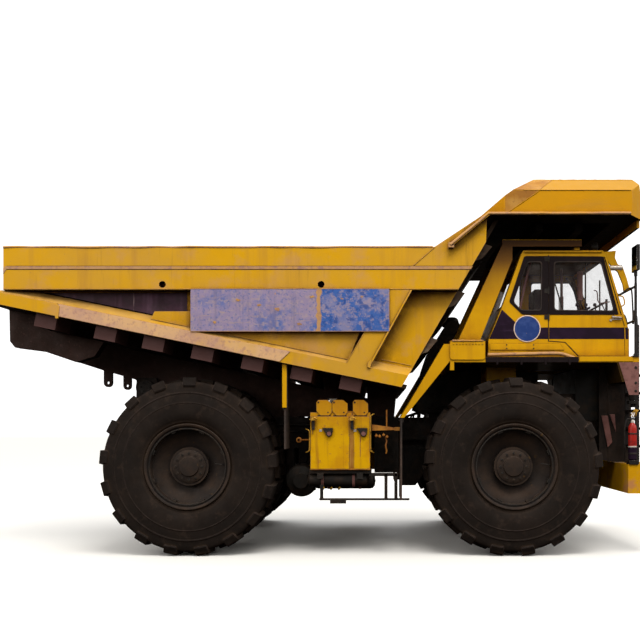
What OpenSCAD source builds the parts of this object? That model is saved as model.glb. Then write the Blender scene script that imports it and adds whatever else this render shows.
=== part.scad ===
// Rigid-frame mining dump truck. X points forward, the cab stands on the -Y side, Z is up.
// The origin lies on the ground under the middle of the truck.

/* [Overall] */
// Length from the tail of the dump body to the front of the bumper
overall_l = 10100; // [9900:20:10300]
// Distance between the front and rear axles
wheelbase = 4900; // [4850:10:4950]
// Distance from the front axle to the front of the bumper
front_overhang = 2150; // [2130:10:2200]

/* [Wheels] */
// Outer diameter of a tyre over its lugs
tyre_d = 2690; // [2660:5:2700]
// Width of a tyre
tyre_w = 740; // [720:5:750]
// Depth of the tread lugs
lug_h = 60; // [50:1:65]
// Diameter at which a tyre sits on its rim
rim_d = 1245; // [1200:5:1260]
// Distance between the middles of the front tyres
front_track = 4150; // [4120:5:4170]
// Distance between the middles of the two tyres of a pair
dual_pitch = 840; // [825:5:850]
// Distance between the middles of the outer rear tyres
rear_track = 4160; // [4140:5:4170]
// Diameter of a hub
hub_d = 560; // [520:5:600]
// Distance between the two kingpins
king_track = 3000; // [2980:5:3020]
// Length of a steering arm behind its kingpin
steer_arm = 350; // [330:5:360]

/* [Chassis] */
// Distance between the outer sides of the frame rails
frame_w = 1300; // [1280:5:1320]
// Width of one frame rail
rail_w = 220; // [200:5:230]
// Height of the frame rails' top above the axles
rail_rise = 755; // [735:5:775]
// Depth of a frame rail
rail_h = 520; // [480:5:540]
// Height of the engine block
engine_h = 1350; // [1200:10:1400]
// Length of the engine block
engine_l = 1900; // [1800:10:2000]
// Depth of the bumper's underside below the axles
bumper_drop = 405; // [385:5:445]
// Height of the bumper
bumper_h = 440; // [400:10:460]
// Length of the bumper along the truck
bumper_l = 430; // [400:10:440]
// Width of the bumper
bumper_w = 4700; // [4500:20:4800]

/* [Deck and cab] */
// Height of the deck's top above the axles
deck_rise = 1645; // [1625:5:1655]
// Thickness of the deck
deck_t = 80; // [60:5:90]
// Width of the deck
deck_w = 4900; // [4800:20:4960]
// Width of the cab
cab_w = 1820; // [1760:10:1860]
// Height of the cab
cab_h = 1620; // [1600:5:1640]
// Thickness of the cab's walls
cab_t = 60; // [50:1:70]
// Thickness of a window pane
pane_t = 12; // [10:1:16]
// Diameter of a handrail tube
tube_d = 42; // [36:1:50]

/* [Dump body] */
// Width over the side rails
body_w = 5200; // [5160:10:5220]
// Width over the canopy's lips
canopy_w = 5400; // [5360:10:5440]
// Height of the side rails' top above the axles
body_rise = 3255; // [3235:5:3275]
// Height of an upper side rail
top_rail_h = 636; // [600:4:660]
// Depth of the side rails out from the wall
side_rail_t = 175; // [160:5:190]
// Thickness of a side wall
wall_t = 40; // [30:1:60]
// Thickness of the floor, square to it
floor_t = 60; // [50:1:70]
// Slope of the floor in degrees
floor_slope = 11.6; // [11.4:0.1:11.8]
// Slope of the front wall in degrees
front_slope = 59.8; // [59:0.1:61]
// Height of the body's lowest corner, at the foot of the front wall, above the axles
floor_rise = 1185; // [1175:5:1195]
// Height of the canopy's base above the axles
canopy_rise = 3700; // [3685:5:3715]
// Height of the canopy's box above its base
canopy_h = 635; // [600:5:650]
// Diameter of the body's hinge pins
hinge_pin_d = 160; // [140:2:180]
// Diameter of the round holes in the side rails
sling_hole_d = 100; // [90:1:110]

/* [Hidden] */
$fn = 48;
eps = 1;

// Where the axles and the main planes lie
nose_x = overall_l / 2;
tail_x = -overall_l / 2;
front_axle_x = nose_x - front_overhang;
rear_axle_x = front_axle_x - wheelbase;
axle_z = tyre_d / 2;
rail_top = axle_z + rail_rise;
bumper_low = axle_z - bumper_drop;
deck_top = axle_z + deck_rise;
body_top = axle_z + body_rise;
floor_low = axle_z + floor_rise;
canopy_low = axle_z + canopy_rise;
frame_y = frame_w / 2;
front_tyre_y = front_track / 2;
outer_tyre_y = rear_track / 2;
inner_tyre_y = outer_tyre_y - dual_pitch;
king_y = king_track / 2;

// Dump body
pivot_x = rear_axle_x - 1100;
pivot_z = rail_top + 520;
rail_y = body_w / 2;
wall_y = rail_y - side_rail_t;
inner_y = wall_y - wall_t;
foot_x = front_axle_x - 1700;
side_tail_x = tail_x + 380;
top_rail_low = body_top - top_rail_h;
rise_x = foot_x + 490;
canopy_start = 1160;
canopy_lip_reach = 1650;
canopy_reach = 1900;
canopy_rear_x = foot_x + canopy_start;
canopy_lip_x = front_axle_x + canopy_lip_reach;
canopy_front_x = front_axle_x + canopy_reach;
lip_t = 45;

function floor_z(x) = floor_low + (foot_x - x) * tan(floor_slope);
function front_x(z) = foot_x + (z - floor_low) / tan(front_slope);

// Cab
cab_y = deck_w / 2 - 150;
cab_rear_x = front_axle_x - 376;
cab_front_x = front_axle_x + 1747;
cab_low = deck_top + 0.3;
cab_top = cab_low + cab_h;
seam_x = cab_rear_x + 906;

// Hoist
hoist_y = 790;
hoist_base = [rear_axle_x + 1650, axle_z - 345];
hoist_top = [rear_axle_x + 2100, rail_top + 380];
barrel_d = 230;
stage_d = 180;
rod_d = 130;
hoist_pin_d = 100;
eye_w = 130;
run_gap = 0.3;
pin_gap = 0.1;

// A box from its two corners
module block(low, high) {
    translate(low) cube(high - low);
}

// An outline in X and Z, carried from y0 to y1
module slab(points, y0, y1) {
    translate([0, y1, 0]) rotate([90, 0, 0]) linear_extrude(y1 - y0) polygon(points);
}

// Things that stand on both sides of the truck
module both_sides() {
    children();
    mirror([0, 1, 0]) children();
}

// A round bar from point a to point b
module bar(a, b, d) {
    v = b - a;
    len = norm(v);
    translate(a) rotate([0, acos(v[2] / len), atan2(v[1], v[0])]) cylinder(d = d, h = len);
}

// A disc or pin along Y, centred on y
module pin_y(x, y, z, d, w) {
    translate([x, y + w / 2, z]) rotate([90, 0, 0]) cylinder(d = d, h = w);
}

// Places children in the floor's own frame: local X runs up the slope's foot, local Z is square to it
module on_floor() {
    translate([foot_x, 0, floor_low]) rotate([0, floor_slope, 0]) children();
}

// Chassis

frame_rear_x = pivot_x - 180;
frame_front_x = nose_x - bumper_l;
ear_t = 50;
collar_l = 420;

module frame_rail() {
    low = rail_top - rail_h;
    slab([
        [frame_rear_x, low + 120], [frame_rear_x + 500, low], [front_axle_x - 900, low],
        [front_axle_x - 600, low - 200], [frame_front_x, low - 200], [frame_front_x, low + 250],
        [front_axle_x - 600, rail_top - 150], [front_axle_x - 900, rail_top], [frame_rear_x, rail_top]
    ], -frame_y, -frame_y + rail_w);
}

// Ears outside and inside a rail that carry the body's hinge pin
module hinge_ears() {
    for (y = [-frame_y - ear_t, -frame_y + rail_w])
        difference() {
            slab([
                [pivot_x - 180, rail_top - 300], [pivot_x + 420, rail_top - 300],
                [pivot_x + 300, rail_top + 60], [pivot_x + 170, pivot_z + 160],
                [pivot_x - 170, pivot_z + 160]
            ], y, y + ear_t);
            pin_y(pivot_x, y + ear_t / 2, pivot_z, hinge_pin_d, ear_t + 2 * eps);
        }
    pin_y(pivot_x, -frame_y + rail_w / 2, pivot_z, hinge_pin_d, rail_w + 2 * ear_t + 60);
}

// The portal over the front axle that carries the struts' heads
module collar() {
    x0 = front_axle_x - collar_l / 2;
    x1 = front_axle_x + collar_l / 2;
    for (z = [strut_low + 250, strut_top - 200])
        difference() {
            block([x0, -king_y, z - 60], [x1, -frame_y + eps, z + 60]);
            translate([front_axle_x, -king_y, z - 70]) cylinder(d = strut_d, h = 140);
        }
    block([x0, -frame_y - 60, rail_top - 400], [x1, -frame_y + rail_w, strut_top - 140]);
}

tow_lug_d = 100;
tow_lug_t = 80;
tow_lug_x = frame_rear_x - 200;
tow_lug_z = rail_top - 200;

module tow_lug() {
    difference() {
        union() {
            block([tow_lug_x, -tow_lug_t / 2, tow_lug_z - 110],
                [frame_rear_x - 0.3, tow_lug_t / 2, tow_lug_z + 110]);
            pin_y(tow_lug_x, 0, tow_lug_z, 220, tow_lug_t);
        }
        pin_y(tow_lug_x, 0, tow_lug_z, tow_lug_d, tow_lug_t + 2 * eps);
    }
}

module frame() {
    color("#3a3634") {
        both_sides() {
            frame_rail();
            hinge_ears();
            collar();
            block([hoist_base[0] - 140, -hoist_y + barrel_d / 2 + 8, hoist_base[1] - 150],
                [hoist_base[0] + 140, -frame_y + 60, rail_top - 200]);
            pin_y(hoist_base[0], -hoist_y + 40, hoist_base[1], hoist_pin_d, eye_w + 80);
            pin_y(hoist_base[0], -hoist_y + eye_w / 2 + run_gap + 30, hoist_base[1], hoist_pin_d + 16, 60);
            block([rear_axle_x - 430, -frame_y - 200, rail_top - 60],
                [rear_axle_x - 230, -frame_y + 60, rail_top]);
            block([frame_front_x - 220, -frame_y, bumper_low + 60],
                [frame_front_x, -frame_y + rail_w, rail_top - 500]);
        }
        tow_lug();
        for (x = [frame_rear_x, rear_axle_x + 400])
            block([x, -frame_y + rail_w - eps, rail_top - 420],
                [x + 220, frame_y - rail_w + eps, rail_top - 80]);
        block([rear_axle_x + 2000, -frame_y + rail_w - eps, rail_top - 220],
            [rear_axle_x + 2220, frame_y - rail_w + eps, rail_top - 40]);
        block([front_axle_x - collar_l / 2, -frame_y + rail_w - eps, rail_top - 700],
            [front_axle_x + collar_l / 2, frame_y - rail_w + eps, rail_top - 560]);
        block([frame_front_x - 260, -frame_y + rail_w - eps, rail_top - 700],
            [frame_front_x - 60, frame_y - rail_w + eps, rail_top - 420]);
    }
}

module bumper() {
    z0 = bumper_low;
    z1 = bumper_low + bumper_h;
    color("#e3ac14") difference() {
        slab([
            [nose_x - bumper_l, z0], [nose_x - 90, z0], [nose_x, z0 + 90], [nose_x, z1],
            [nose_x - bumper_l, z1]
        ], -bumper_w / 2, bumper_w / 2);
        both_sides() for (y = lamp_y)
            translate([nose_x - lamp_t, -y, z0 + bumper_h / 2]) rotate([0, 90, 0]) cylinder(d = lamp_d,
                h = lamp_t + eps);
    }
}

tube_end = inner_tyre_y - tyre_w / 2 - 20;
spindle_d = 360;
banjo_d = 900;
spindle_end = outer_tyre_y + 70;

module rear_axle() {
    arm_x = rear_axle_x + 1350;
    color("#35302d") {
        pin_y(rear_axle_x, 0, axle_z, 440, 2 * tube_end);
        pin_y(rear_axle_x, 0, axle_z, banjo_d, 320);
        both_sides() translate([rear_axle_x, -160 + eps, axle_z]) rotate([90, 0, 0])
            cylinder(d1 = banjo_d - 40, d2 = 440 + eps, h = 240);
        slab([
            [rear_axle_x, axle_z - 260], [arm_x, axle_z - 330], [arm_x, axle_z - 130],
            [rear_axle_x, axle_z + 60]
        ], -150, 150);
        bar([rear_axle_x + 200, 0, axle_z + 130], [rear_axle_x + 560, 0, axle_z + 130], 220);
        pin_y(arm_x, 0, axle_z - 210, 300, 700);
        both_sides() {
            block([arm_x - 60, -frame_y, axle_z - 210], [arm_x + 60, -frame_y + 300, rail_top - rail_h]);
            pin_y(rear_axle_x, -(tube_end + spindle_end) / 2, axle_z, spindle_d, spindle_end - tube_end);
            pin_y(rear_axle_x, -tube_end - 60, axle_z, 760, 120);
            block([rear_axle_x - 430, -frame_y - 200, axle_z - 120],
                [rear_axle_x - 230, -frame_y - 30, axle_z + 210]);
            block([rear_axle_x - 430, -frame_y - 200, axle_z - 100],
                [rear_axle_x, -frame_y - 30, axle_z + 100]);
        }
    }
}

strut_d = 300;
strut_low = axle_z + 355;
strut_top = rail_top + 540;
rear_strut_d = 180;

module struts() {
    color("#8d7a3a") both_sides() {
        translate([front_axle_x, -king_y, strut_low]) cylinder(d = strut_d, h = strut_top - strut_low);
        bar([rear_axle_x - 330, -frame_y - 105, axle_z + 210],
            [rear_axle_x - 330, -frame_y - 105, rail_top - 60],
            rear_strut_d);
    }
}

engine_w = 2 * (frame_y - rail_w) - 20;
engine_x = front_axle_x - 1150;
engine_low = rail_top - 560 + 0.3;

module engine() {
    color("#4a4742") block([engine_x, -engine_w / 2, engine_low],
        [engine_x + engine_l, engine_w / 2, engine_low + engine_h]);
}

module powertrain() {
    box_x = engine_x - 1350;
    color("#4d4640") {
        block([box_x, -330, rail_top - rail_h + 0.3], [engine_x - 250, 330, rail_top - 60]);
        bar([engine_x - 250 - eps, 0, rail_top - 300], [engine_x - 0.3, 0, rail_top - 300], 160);
        bar([rear_axle_x + 580, 0, axle_z + 140], [box_x + eps, 0, rail_top - 330], 150);
    }
}

radiator_x = front_axle_x + 1300;
radiator_l = frame_front_x - radiator_x;
radiator_w = 1700;
radiator_low = rail_top - 420;

module radiator() {
    color("#2e2c2a") {
        block([radiator_x, -radiator_w / 2, radiator_low + 370],
            [radiator_x + radiator_l, radiator_w / 2, deck_top - deck_t - 0.3]);
        block([radiator_x, -frame_y + rail_w + 5, radiator_low],
            [radiator_x + radiator_l, frame_y - rail_w - 5, radiator_low + 371]);
    }
}

grille_w = 1900;
grille_low = bumper_low + bumper_h + 0.3;
grille_x = frame_front_x + 0.3;
bar_count = 11;

module grille() {
    top = deck_top - deck_t - 0.3;
    pitch = (top - grille_low - 160) / bar_count;
    radiator();
    color("#26241f") difference() {
        block([grille_x, -grille_w / 2, grille_low], [grille_x + 110, grille_w / 2, top]);
        for (i = [0:bar_count - 1], s = [-1, 1])
            block([grille_x - eps, s == -1 ? -grille_w / 2 + 70 : 30, grille_low + 100 + i * pitch],
                [grille_x + 111, s == -1 ? -30 : grille_w / 2 - 70, grille_low + 60 + (i + 1) * pitch]);
    }
}

// Deck, hood and fenders

deck_rear_x = front_axle_x - 970;
deck_front_x = nose_x - 300;

module deck() {
    color("#d9a016") {
        difference() {
            block([deck_rear_x, -deck_w / 2, deck_top - deck_t], [deck_front_x, deck_w / 2, deck_top]);
            block([front_axle_x - 700, -420, deck_top - deck_t - eps],
                [front_axle_x + 1200, 420, deck_top + eps]);
        }
        both_sides() {
            block([deck_rear_x, -deck_w / 2, deck_top - 200],
                [deck_rear_x + 60, -frame_y, deck_top - deck_t]);
            block([front_axle_x - collar_l / 2 - 60, -king_y + 180, strut_top - 140],
                [front_axle_x + collar_l / 2, -frame_y, deck_top - deck_t + eps]);
        }
        hood();
    }
}

hood_w = 860;

// The engine cover, which lies over the hatch in the deck
module hood() {
    x0 = front_axle_x - 720;
    x1 = front_axle_x + 1220;
    difference() {
        block([x0, -hood_w / 2, deck_top + 0.3], [x1, hood_w / 2, deck_top + 190]);
        block([x0 + 20, -hood_w / 2 + 20, deck_top], [x1 - 20, hood_w / 2 - 20, deck_top + 170]);
    }
}

// Sloping guards behind the front wheels, and gussets ahead of them
module fenders() {
    y0 = -deck_w / 2;
    y1 = -deck_w / 2 + 800;
    color("#d9a016") both_sides() {
        slab([
            [front_axle_x - 1060, deck_top + 190], [front_axle_x - 970.3, deck_top + 190],
            [front_axle_x - 970.3, deck_top - 60],
            [front_axle_x - 1655, axle_z + 735], [front_axle_x - 1710, axle_z + 735]
        ], y0, y1);
        slab([
            [deck_front_x - 330, deck_top - deck_t - 0.3], [deck_front_x - 250, axle_z + 1270],
            [deck_front_x, axle_z + 1270], [deck_front_x, deck_top - deck_t - 0.3]
        ], y0, y0 + 700);
    }
}

module mud_flaps() {
    x = front_axle_x - 1710;
    color("#24211f") both_sides()
        block([x, -deck_w / 2 + 10, axle_z - 495], [x + 25, -deck_w / 2 + 790, axle_z + 734.7]);
}

// Cab

function cab_outline(t) = [
    [cab_rear_x + t, cab_low + t], [cab_rear_x + t, cab_low + 257], [cab_rear_x + 204 + t, cab_low + 760],
    [cab_rear_x + 493 + t, cab_top - 60], [cab_rear_x + 530 + t, cab_top - t],
    [cab_front_x - 400 - t, cab_top - t], [cab_front_x - 355 - t, cab_top - 40 - t / 2],
    [cab_front_x - 8 - t, cab_low + 440], [cab_front_x - t, cab_low + 380], [cab_front_x - t, cab_low + t]
];

rear_glass = [
    [cab_rear_x + 589, cab_top - 164], [cab_rear_x + 367, cab_low + 830], [cab_rear_x + 493, cab_low + 704],
    [cab_rear_x + 801, cab_low + 704], [cab_rear_x + 811, cab_top - 164]
];
side_glass = [
    [seam_x + 79, cab_low + 704], [cab_front_x - 242, cab_low + 694], [cab_front_x - 213, cab_low + 760],
    [cab_front_x - 416, cab_top - 164], [seam_x + 79, cab_top - 164]
];
door_edge = [
    [seam_x, cab_low + 245], [seam_x + 250, cab_low + 230], [seam_x + 455, cab_low + 20],
    [cab_front_x - 60, cab_low + 20], [cab_front_x - 68, cab_low + 460], [cab_front_x - 370, cab_top - 100],
    [seam_x, cab_top - 100]
];

function grown(points, by) = [
    for (p = points) [p[0] + sign(p[0] - mid_x(points)) * by, p[1] + sign(p[1] - mid_z(points)) * by]
];
function mid_x(points) = (max([for (p = points) p[0]]) + min([for (p = points) p[0]])) / 2;
function mid_z(points) = (max([for (p = points) p[1]]) + min([for (p = points) p[1]])) / 2;

module cab_shell() {
    in_y = cab_y - cab_t;
    out_y = cab_y - cab_w + cab_t;
    color("#e5ae17") difference() {
        slab(cab_outline(0), -cab_y, -cab_y + cab_w);
        slab(cab_outline(cab_t), -in_y, -out_y);
        slab(door_edge, -cab_y - eps, -in_y + eps);
        slab(rear_glass, -cab_y - eps, -in_y + eps);
        slab(rear_glass, -out_y - eps, -cab_y + cab_w + eps);
        slab(side_glass, -out_y - eps, -cab_y + cab_w + eps);
        block([cab_front_x - 500, -in_y + 40, cab_low + 560],
            [cab_front_x + eps, -out_y - 40, cab_top - 120]);
        block([cab_rear_x - eps, -in_y + 120, cab_low + 800],
            [cab_rear_x + 700, -out_y - 120, cab_top - 160]);
    }
}

module cab_glass() {
    in_y = cab_y - cab_t;
    out_y = cab_y - cab_w + cab_t;
    color("#5d6a72", 0.4) {
        slab(rear_glass, -cab_y + 20, -cab_y + 20 + pane_t);
        slab(rear_glass, -cab_y + cab_w - 20 - pane_t, -cab_y + cab_w - 20);
        slab(side_glass, -cab_y + cab_w - 20 - pane_t, -cab_y + cab_w - 20);
        intersection() {
            difference() {
                slab(cab_outline(20), -in_y + 40, -out_y - 40);
                slab(cab_outline(20 + pane_t), -in_y + 40 - eps, -out_y - 40 + eps);
            }
            union() {
                block([cab_front_x - 500, -in_y + 40, cab_low + 560],
                    [cab_front_x, -out_y - 40, cab_top - 120]);
                block([cab_rear_x, -in_y + 120, cab_low + 800],
                    [cab_rear_x + 700, -out_y - 120, cab_top - 160]);
            }
        }
    }
}

door_gap = 6;
door_t = 50;

module cab_door() {
    color("#e5ae17") {
        difference() {
            slab(grown(door_edge, -door_gap), -cab_y, -cab_y + door_t);
            slab(side_glass, -cab_y - eps, -cab_y + door_t + eps);
        }
        block([cab_front_x - 230, -cab_y - 25, cab_low + 600], [cab_front_x - 110, -cab_y, cab_low + 640]);
    }
}

module door_glass() {
    color("#5d6a72", 0.4) slab(side_glass, -cab_y + 20, -cab_y + 20 + pane_t);
}

module cab_interior() {
    floor_top = cab_low + cab_t;
    seat_x = cab_rear_x + 950;
    seat_y = -cab_y + cab_w / 2;
    color("#2b2a2c") {
        block([seat_x, seat_y - 200, floor_top], [seat_x + 450, seat_y + 200, floor_top + 300]);
        block([seat_x - 20, seat_y - 270, floor_top + 300], [seat_x + 520, seat_y + 270, floor_top + 440]);
        block([seat_x - 120, seat_y - 260, floor_top + 380], [seat_x + 20, seat_y + 260, floor_top + 1080]);
        block([cab_front_x - 420, -cab_y + 120, floor_top],
            [cab_front_x - 130, -cab_y + cab_w - 120, floor_top + 560]);
        bar([cab_front_x - 400, seat_y, floor_top + 400], [cab_front_x - 560, seat_y, floor_top + 720], 70);
        translate([cab_front_x - 560, seat_y, floor_top + 720]) rotate([0, -27, 0])
            rotate_extrude() translate([220, 0]) circle(d = 36);
        translate([cab_front_x - 560, seat_y, floor_top + 720]) rotate([0, -27, 0])
            block([-220, -25, -15], [220, 25, 5]);
    }
}

// Roll-over guard: feet on the deck, leaning posts and beams over the cab
module rops() {
    foot_x0 = cab_rear_x - 598;
    y0 = -deck_w / 2 + 30;
    y1 = y0 + cab_w - 180;
    post = 330;
    top_z = cab_top + 145;
    color("#d9a016") {
        for (y = [y0, y1]) {
            block([foot_x0 + 5, y, deck_top + 0.3], [foot_x0 + 535, y + post, deck_top + 237]);
            slab([
                [foot_x0 + 128, deck_top + 237 - eps], [foot_x0 + 456, deck_top + 237 - eps],
                [foot_x0 + 950, cab_top - 150], [foot_x0 + 950, top_z], [foot_x0 + 830, top_z]
            ], y + 60, y + post - 60);
        }
        block([foot_x0 + 800, y0 + 60, top_z - 98], [foot_x0 + 990, y1 + post - 60, top_z]);
        for (y = [y0 + 60, y1 + 60])
            block([foot_x0 + 800, y, top_z - 98], [foot_x0 + 1991, y + post - 120, top_z]);
    }
}

// Handrails: each row is a rail's corner points, and a post stands at each corner
rail_h_top = 1100;
rail_rows = [
    [[nose_x - 340, -deck_w / 2 + 30], [nose_x - 340, -1500]],
    [[nose_x - 340, -900], [nose_x - 340, 900]],
    [[nose_x - 340, 1500], [nose_x - 340, deck_w / 2 - 30], [front_axle_x + 400, deck_w / 2 - 30],
        [front_axle_x - 500, deck_w / 2 - 30]]
];

mirror_w = 260;
mirror_h = 380;
mirror_t = 40;

// A mirror on a stem above the rail's front corner
module mirror_head() {
    x = nose_x - 340;
    y = -deck_w / 2 + 30;
    low = deck_top + rail_h_top + 180;
    bar([x, y, deck_top + rail_h_top], [x, y, low], tube_d - 6);
    block([x - mirror_t / 2, y - mirror_w / 2, low], [x + mirror_t / 2, y + mirror_w / 2, low + mirror_h]);
}

module handrails() {
    z0 = deck_top;
    color("#26231f") {
        for (row = rail_rows) {
            for (p = row) bar([p[0], p[1], z0], [p[0], p[1], z0 + rail_h_top], tube_d);
            for (i = [0:len(row) - 2], h = [rail_h_top / 2, rail_h_top - tube_d]) {
                a = [row[i][0], row[i][1], z0 + h];
                b = [row[i + 1][0], row[i + 1][1], z0 + h];
                inset = (b - a) / norm(b - a) * (tube_d / 2 - 5);
                bar(a + inset, b - inset, tube_d - 6);
            }
        }
        both_sides() mirror_head();
    }
}

rung_count = 5;

module ladders() {
    x = deck_front_x + 0.3;
    z0 = bumper_low + bumper_h;
    pitch = (deck_top - z0) / (rung_count + 1);
    color("#26231f") both_sides() {
        for (y = [-2280, -1790])
            block([x, y, z0 + 0.3], [x + 60, y + 30, deck_top + 500]);
        for (i = [1:rung_count])
            block([x, -2260, z0 + i * pitch - 20], [x + 90, -1780, z0 + i * pitch + 20]);
    }
}

// Tanks and boxes on the sides

valve_tank_l = 896;
fuel_tank_l = 1300;
tank_h = 860;
tank_front_x = front_axle_x - 2164;
tank_y = deck_w / 2 - 50;

module valve_tank() {
    x1 = tank_front_x;
    x0 = x1 - valve_tank_l;
    y0 = -tank_y;
    top = rail_top + 60;
    color("#e0a814") {
        difference() {
            block([x0, y0, top - tank_h], [x1, y0 + 1100, top]);
            block([x0 + 620, y0 - eps, top - tank_h - eps], [x0 + 640, y0 + 15, top + eps]);
        }
        for (x = [x0 + 205, x0 + 442, x0 + 750])
            translate([x, y0, top + 70]) rotate([-90, 0, 0]) rotate([0, 0, 22.5]) cylinder(d = 241,
                h = 180, $fn = 8);
        for (x = [x0 + 400, x0 + 750])
            block([x - 60, y0 + 1099, top - 310], [x + 60, -frame_y - 0.3, top - 210]);
        block([x0 + 150, y0 + 30, top - 10], [x1 - 100, y0 + 900, top + 20]);
    }
}

module fuel_tank() {
    x1 = tank_front_x + 214;
    x0 = x1 - fuel_tank_l;
    top = rail_top + 60;
    low = top - tank_h - 190;
    cut = 120;
    color("#d9a016") {
        slab([
            [x0, low + cut], [x0 + cut, low], [x1 - cut, low], [x1, low + cut], [x1, top - cut],
            [x1 - cut, top],
            [x0 + cut, top], [x0, top - cut]
        ], tank_y - 1150, tank_y);
        translate([x0 + 300, tank_y - 400, top - 10]) cylinder(d = 180, h = 90);
        for (x = [x0 + 600, x0 + 1000])
            block([x - 60, frame_y + 0.3, top - 310], [x + 60, tank_y - 1149, top - 210]);
    }
}

module air_cleaners() {
    x0 = front_axle_x - 500;
    color("#d9a016") for (y = [deck_w / 2 - 1300, deck_w / 2 - 650]) {
        translate([x0, y, deck_top + 350]) rotate([0, 90, 0]) cylinder(d = 500, h = 900);
        block([x0 + 200, y - 150, deck_top + 0.3], [x0 + 700, y + 150, deck_top + 200]);
    }
}

lamp_y = [1650, 2000];
lamp_d = 220;
lamp_t = 30;

module lamps() {
    color("#dcd9cf") both_sides() for (y = lamp_y)
        translate([nose_x - lamp_t, -y, bumper_low + bumper_h / 2]) rotate([0, 90, 0])
            cylinder(d = lamp_d - 0.6, h = lamp_t);
}

// Dump body

rib_w = 320;
rib_h = 200;
rib_t = 25;
// Places of the floor's cross ribs, from the foot of the front wall towards the tail
rib_at = [735, 1465, 2195, 2940, 3670, 4385, 5275];

module body_floor() {
    run = (foot_x - tail_x) / cos(floor_slope);
    color("#d39a18") intersection() {
        on_floor() block([-run - 400, -inner_y, 0], [400, inner_y, floor_t]);
        slab([
            [tail_x, floor_z(tail_x) - 200], [foot_x, floor_low - 200],
            [front_x(floor_low + 400), floor_low + 400],
            [tail_x, floor_z(tail_x) + 600]
        ], -inner_y, inner_y);
    }
}

// The cross-section of the lower side rail, out from the wall: a plumb face under a sloping top
low_rail_face = 190;
low_rail_h = 310;

module lower_rail() {
    run = (foot_x - tail_x) / cos(floor_slope);
    intersection() {
        on_floor() translate([-run - 400, 0, 0]) rotate([90, 0, 90]) linear_extrude(run + 800)
            polygon([
                [-inner_y, 0], [-rail_y, 0], [-rail_y, low_rail_face], [-wall_y, low_rail_h],
                [-inner_y, low_rail_h]
            ]);
        slab([
            [tail_x, floor_z(tail_x) - 200], [foot_x, floor_low - eps],
            [front_x(floor_low + 600), floor_low + 600],
            [foot_x - 2000, top_rail_low - 0.3], [tail_x, top_rail_low - 0.3]
        ], -rail_y - eps, 0);
    }
}

module side_wall() {
    slab([
        [side_tail_x, floor_z(side_tail_x)], [foot_x, floor_low],
        [front_x(canopy_low - 375), canopy_low - 375],
        [canopy_rear_x + 100, canopy_low - 0.3], [canopy_rear_x, canopy_low - 0.3], [rise_x, body_top],
        [side_tail_x, body_top]
    ], -wall_y, -inner_y);
}

module upper_rail() {
    slab([
        [side_tail_x, top_rail_low], [front_x(top_rail_low), top_rail_low],
        [front_x(canopy_low - 375), canopy_low - 375],
        [canopy_rear_x + 100, canopy_low - 0.3], [canopy_rear_x, canopy_low - 0.3], [rise_x, body_top],
        [side_tail_x, body_top]
    ], -rail_y, -wall_y - 0.3);
}

brace_w = 340;

module brace() {
    x0 = foot_x - 810;
    z0 = floor_z(x0) + low_rail_face;
    dx = (top_rail_low - z0) / tan(front_slope);
    slab([
        [x0, z0], [x0 + brace_w, z0 - 70], [x0 + brace_w + dx, top_rail_low - 0.3],
        [x0 + dx, top_rail_low - 0.3]
    ], -rail_y, -wall_y);
}

ledge_x = foot_x - 3715;
ledge_top = body_top - 945;
ledge_in = 60;
plate_x = foot_x - 3105;
sling_z = top_rail_low + 80;
sling_x = [foot_x - 3525, foot_x - 1185];
// Right through the rail, up to the side wall
sling_hole_l = rail_y - wall_y - 0.3;

module body_side() {
    side_wall();
    lower_rail();
    brace();
    slab([
        [ledge_x, floor_z(ledge_x) + 250], [ledge_x + 60, ledge_top], [foot_x - 500, ledge_top],
        [foot_x - 780, floor_z(foot_x - 780) + 250]
    ], -rail_y + ledge_in, -wall_y);
}

module body_sides() {
    color("#e5ae17") both_sides() body_side();
}

rail_joint_x = (sling_x[0] + sling_x[1]) / 2;
// The two lengths of an upper rail, from the tail, with a weld's width between them
rail_lengths = [[tail_x, rail_joint_x - 0.15], [rail_joint_x + 0.15, front_axle_x]];

module upper_rails() {
    color("#e5ae17") both_sides() for (part = rail_lengths)
        difference() {
            intersection() {
                upper_rail();
                block([part[0], -rail_y - eps, top_rail_low - eps], [part[1], 0, canopy_low]);
            }
            for (x = sling_x)
                pin_y(x, -rail_y + sling_hole_l / 2, sling_z, sling_hole_d, sling_hole_l + 2);
        }
}

plate_h = 632;
plate_t = 20;

// A plate over the recess, with the packer behind it that stands on the ledge
module side_plates() {
    top = top_rail_low + 16;
    color("#45608f") both_sides() {
        block([plate_x, -rail_y - plate_t - 0.3, top - plate_h], [foot_x - 180, -rail_y - 0.3, top]);
        block([plate_x + 100, -rail_y - 0.3 - eps, top_rail_low - 540],
            [foot_x - 520, -rail_y + ledge_in - 0.3, top_rail_low - 330]);
    }
}

front_rib_rises = [500, 1200, 1900];
front_rib_z = [for (rise = front_rib_rises) floor_low + rise];

module body_front() {
    t = 60 / sin(front_slope);
    floor_up = floor_t / cos(floor_slope) + 0.3;
    foot_z = floor_low + floor_up;
    color("#d39a18") {
        slab([
            [front_x(foot_z) - t, floor_z(front_x(foot_z) - t) + floor_up], [front_x(foot_z), foot_z],
            [front_x(canopy_low - 0.3), canopy_low - 0.3], [front_x(canopy_low - 0.3) - t, canopy_low - 0.3]
        ], -inner_y, inner_y);
        for (z = front_rib_z)
            slab([
                [front_x(z) - eps, z], [front_x(z) + 110, z + 40], [front_x(z + 260) + 110, z + 220],
                [front_x(z + 260) - eps, z + 260]
            ], -inner_y, inner_y);
    }
}

canopy_t = 50;
canopy_beam_at = [900, 1500];

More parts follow.
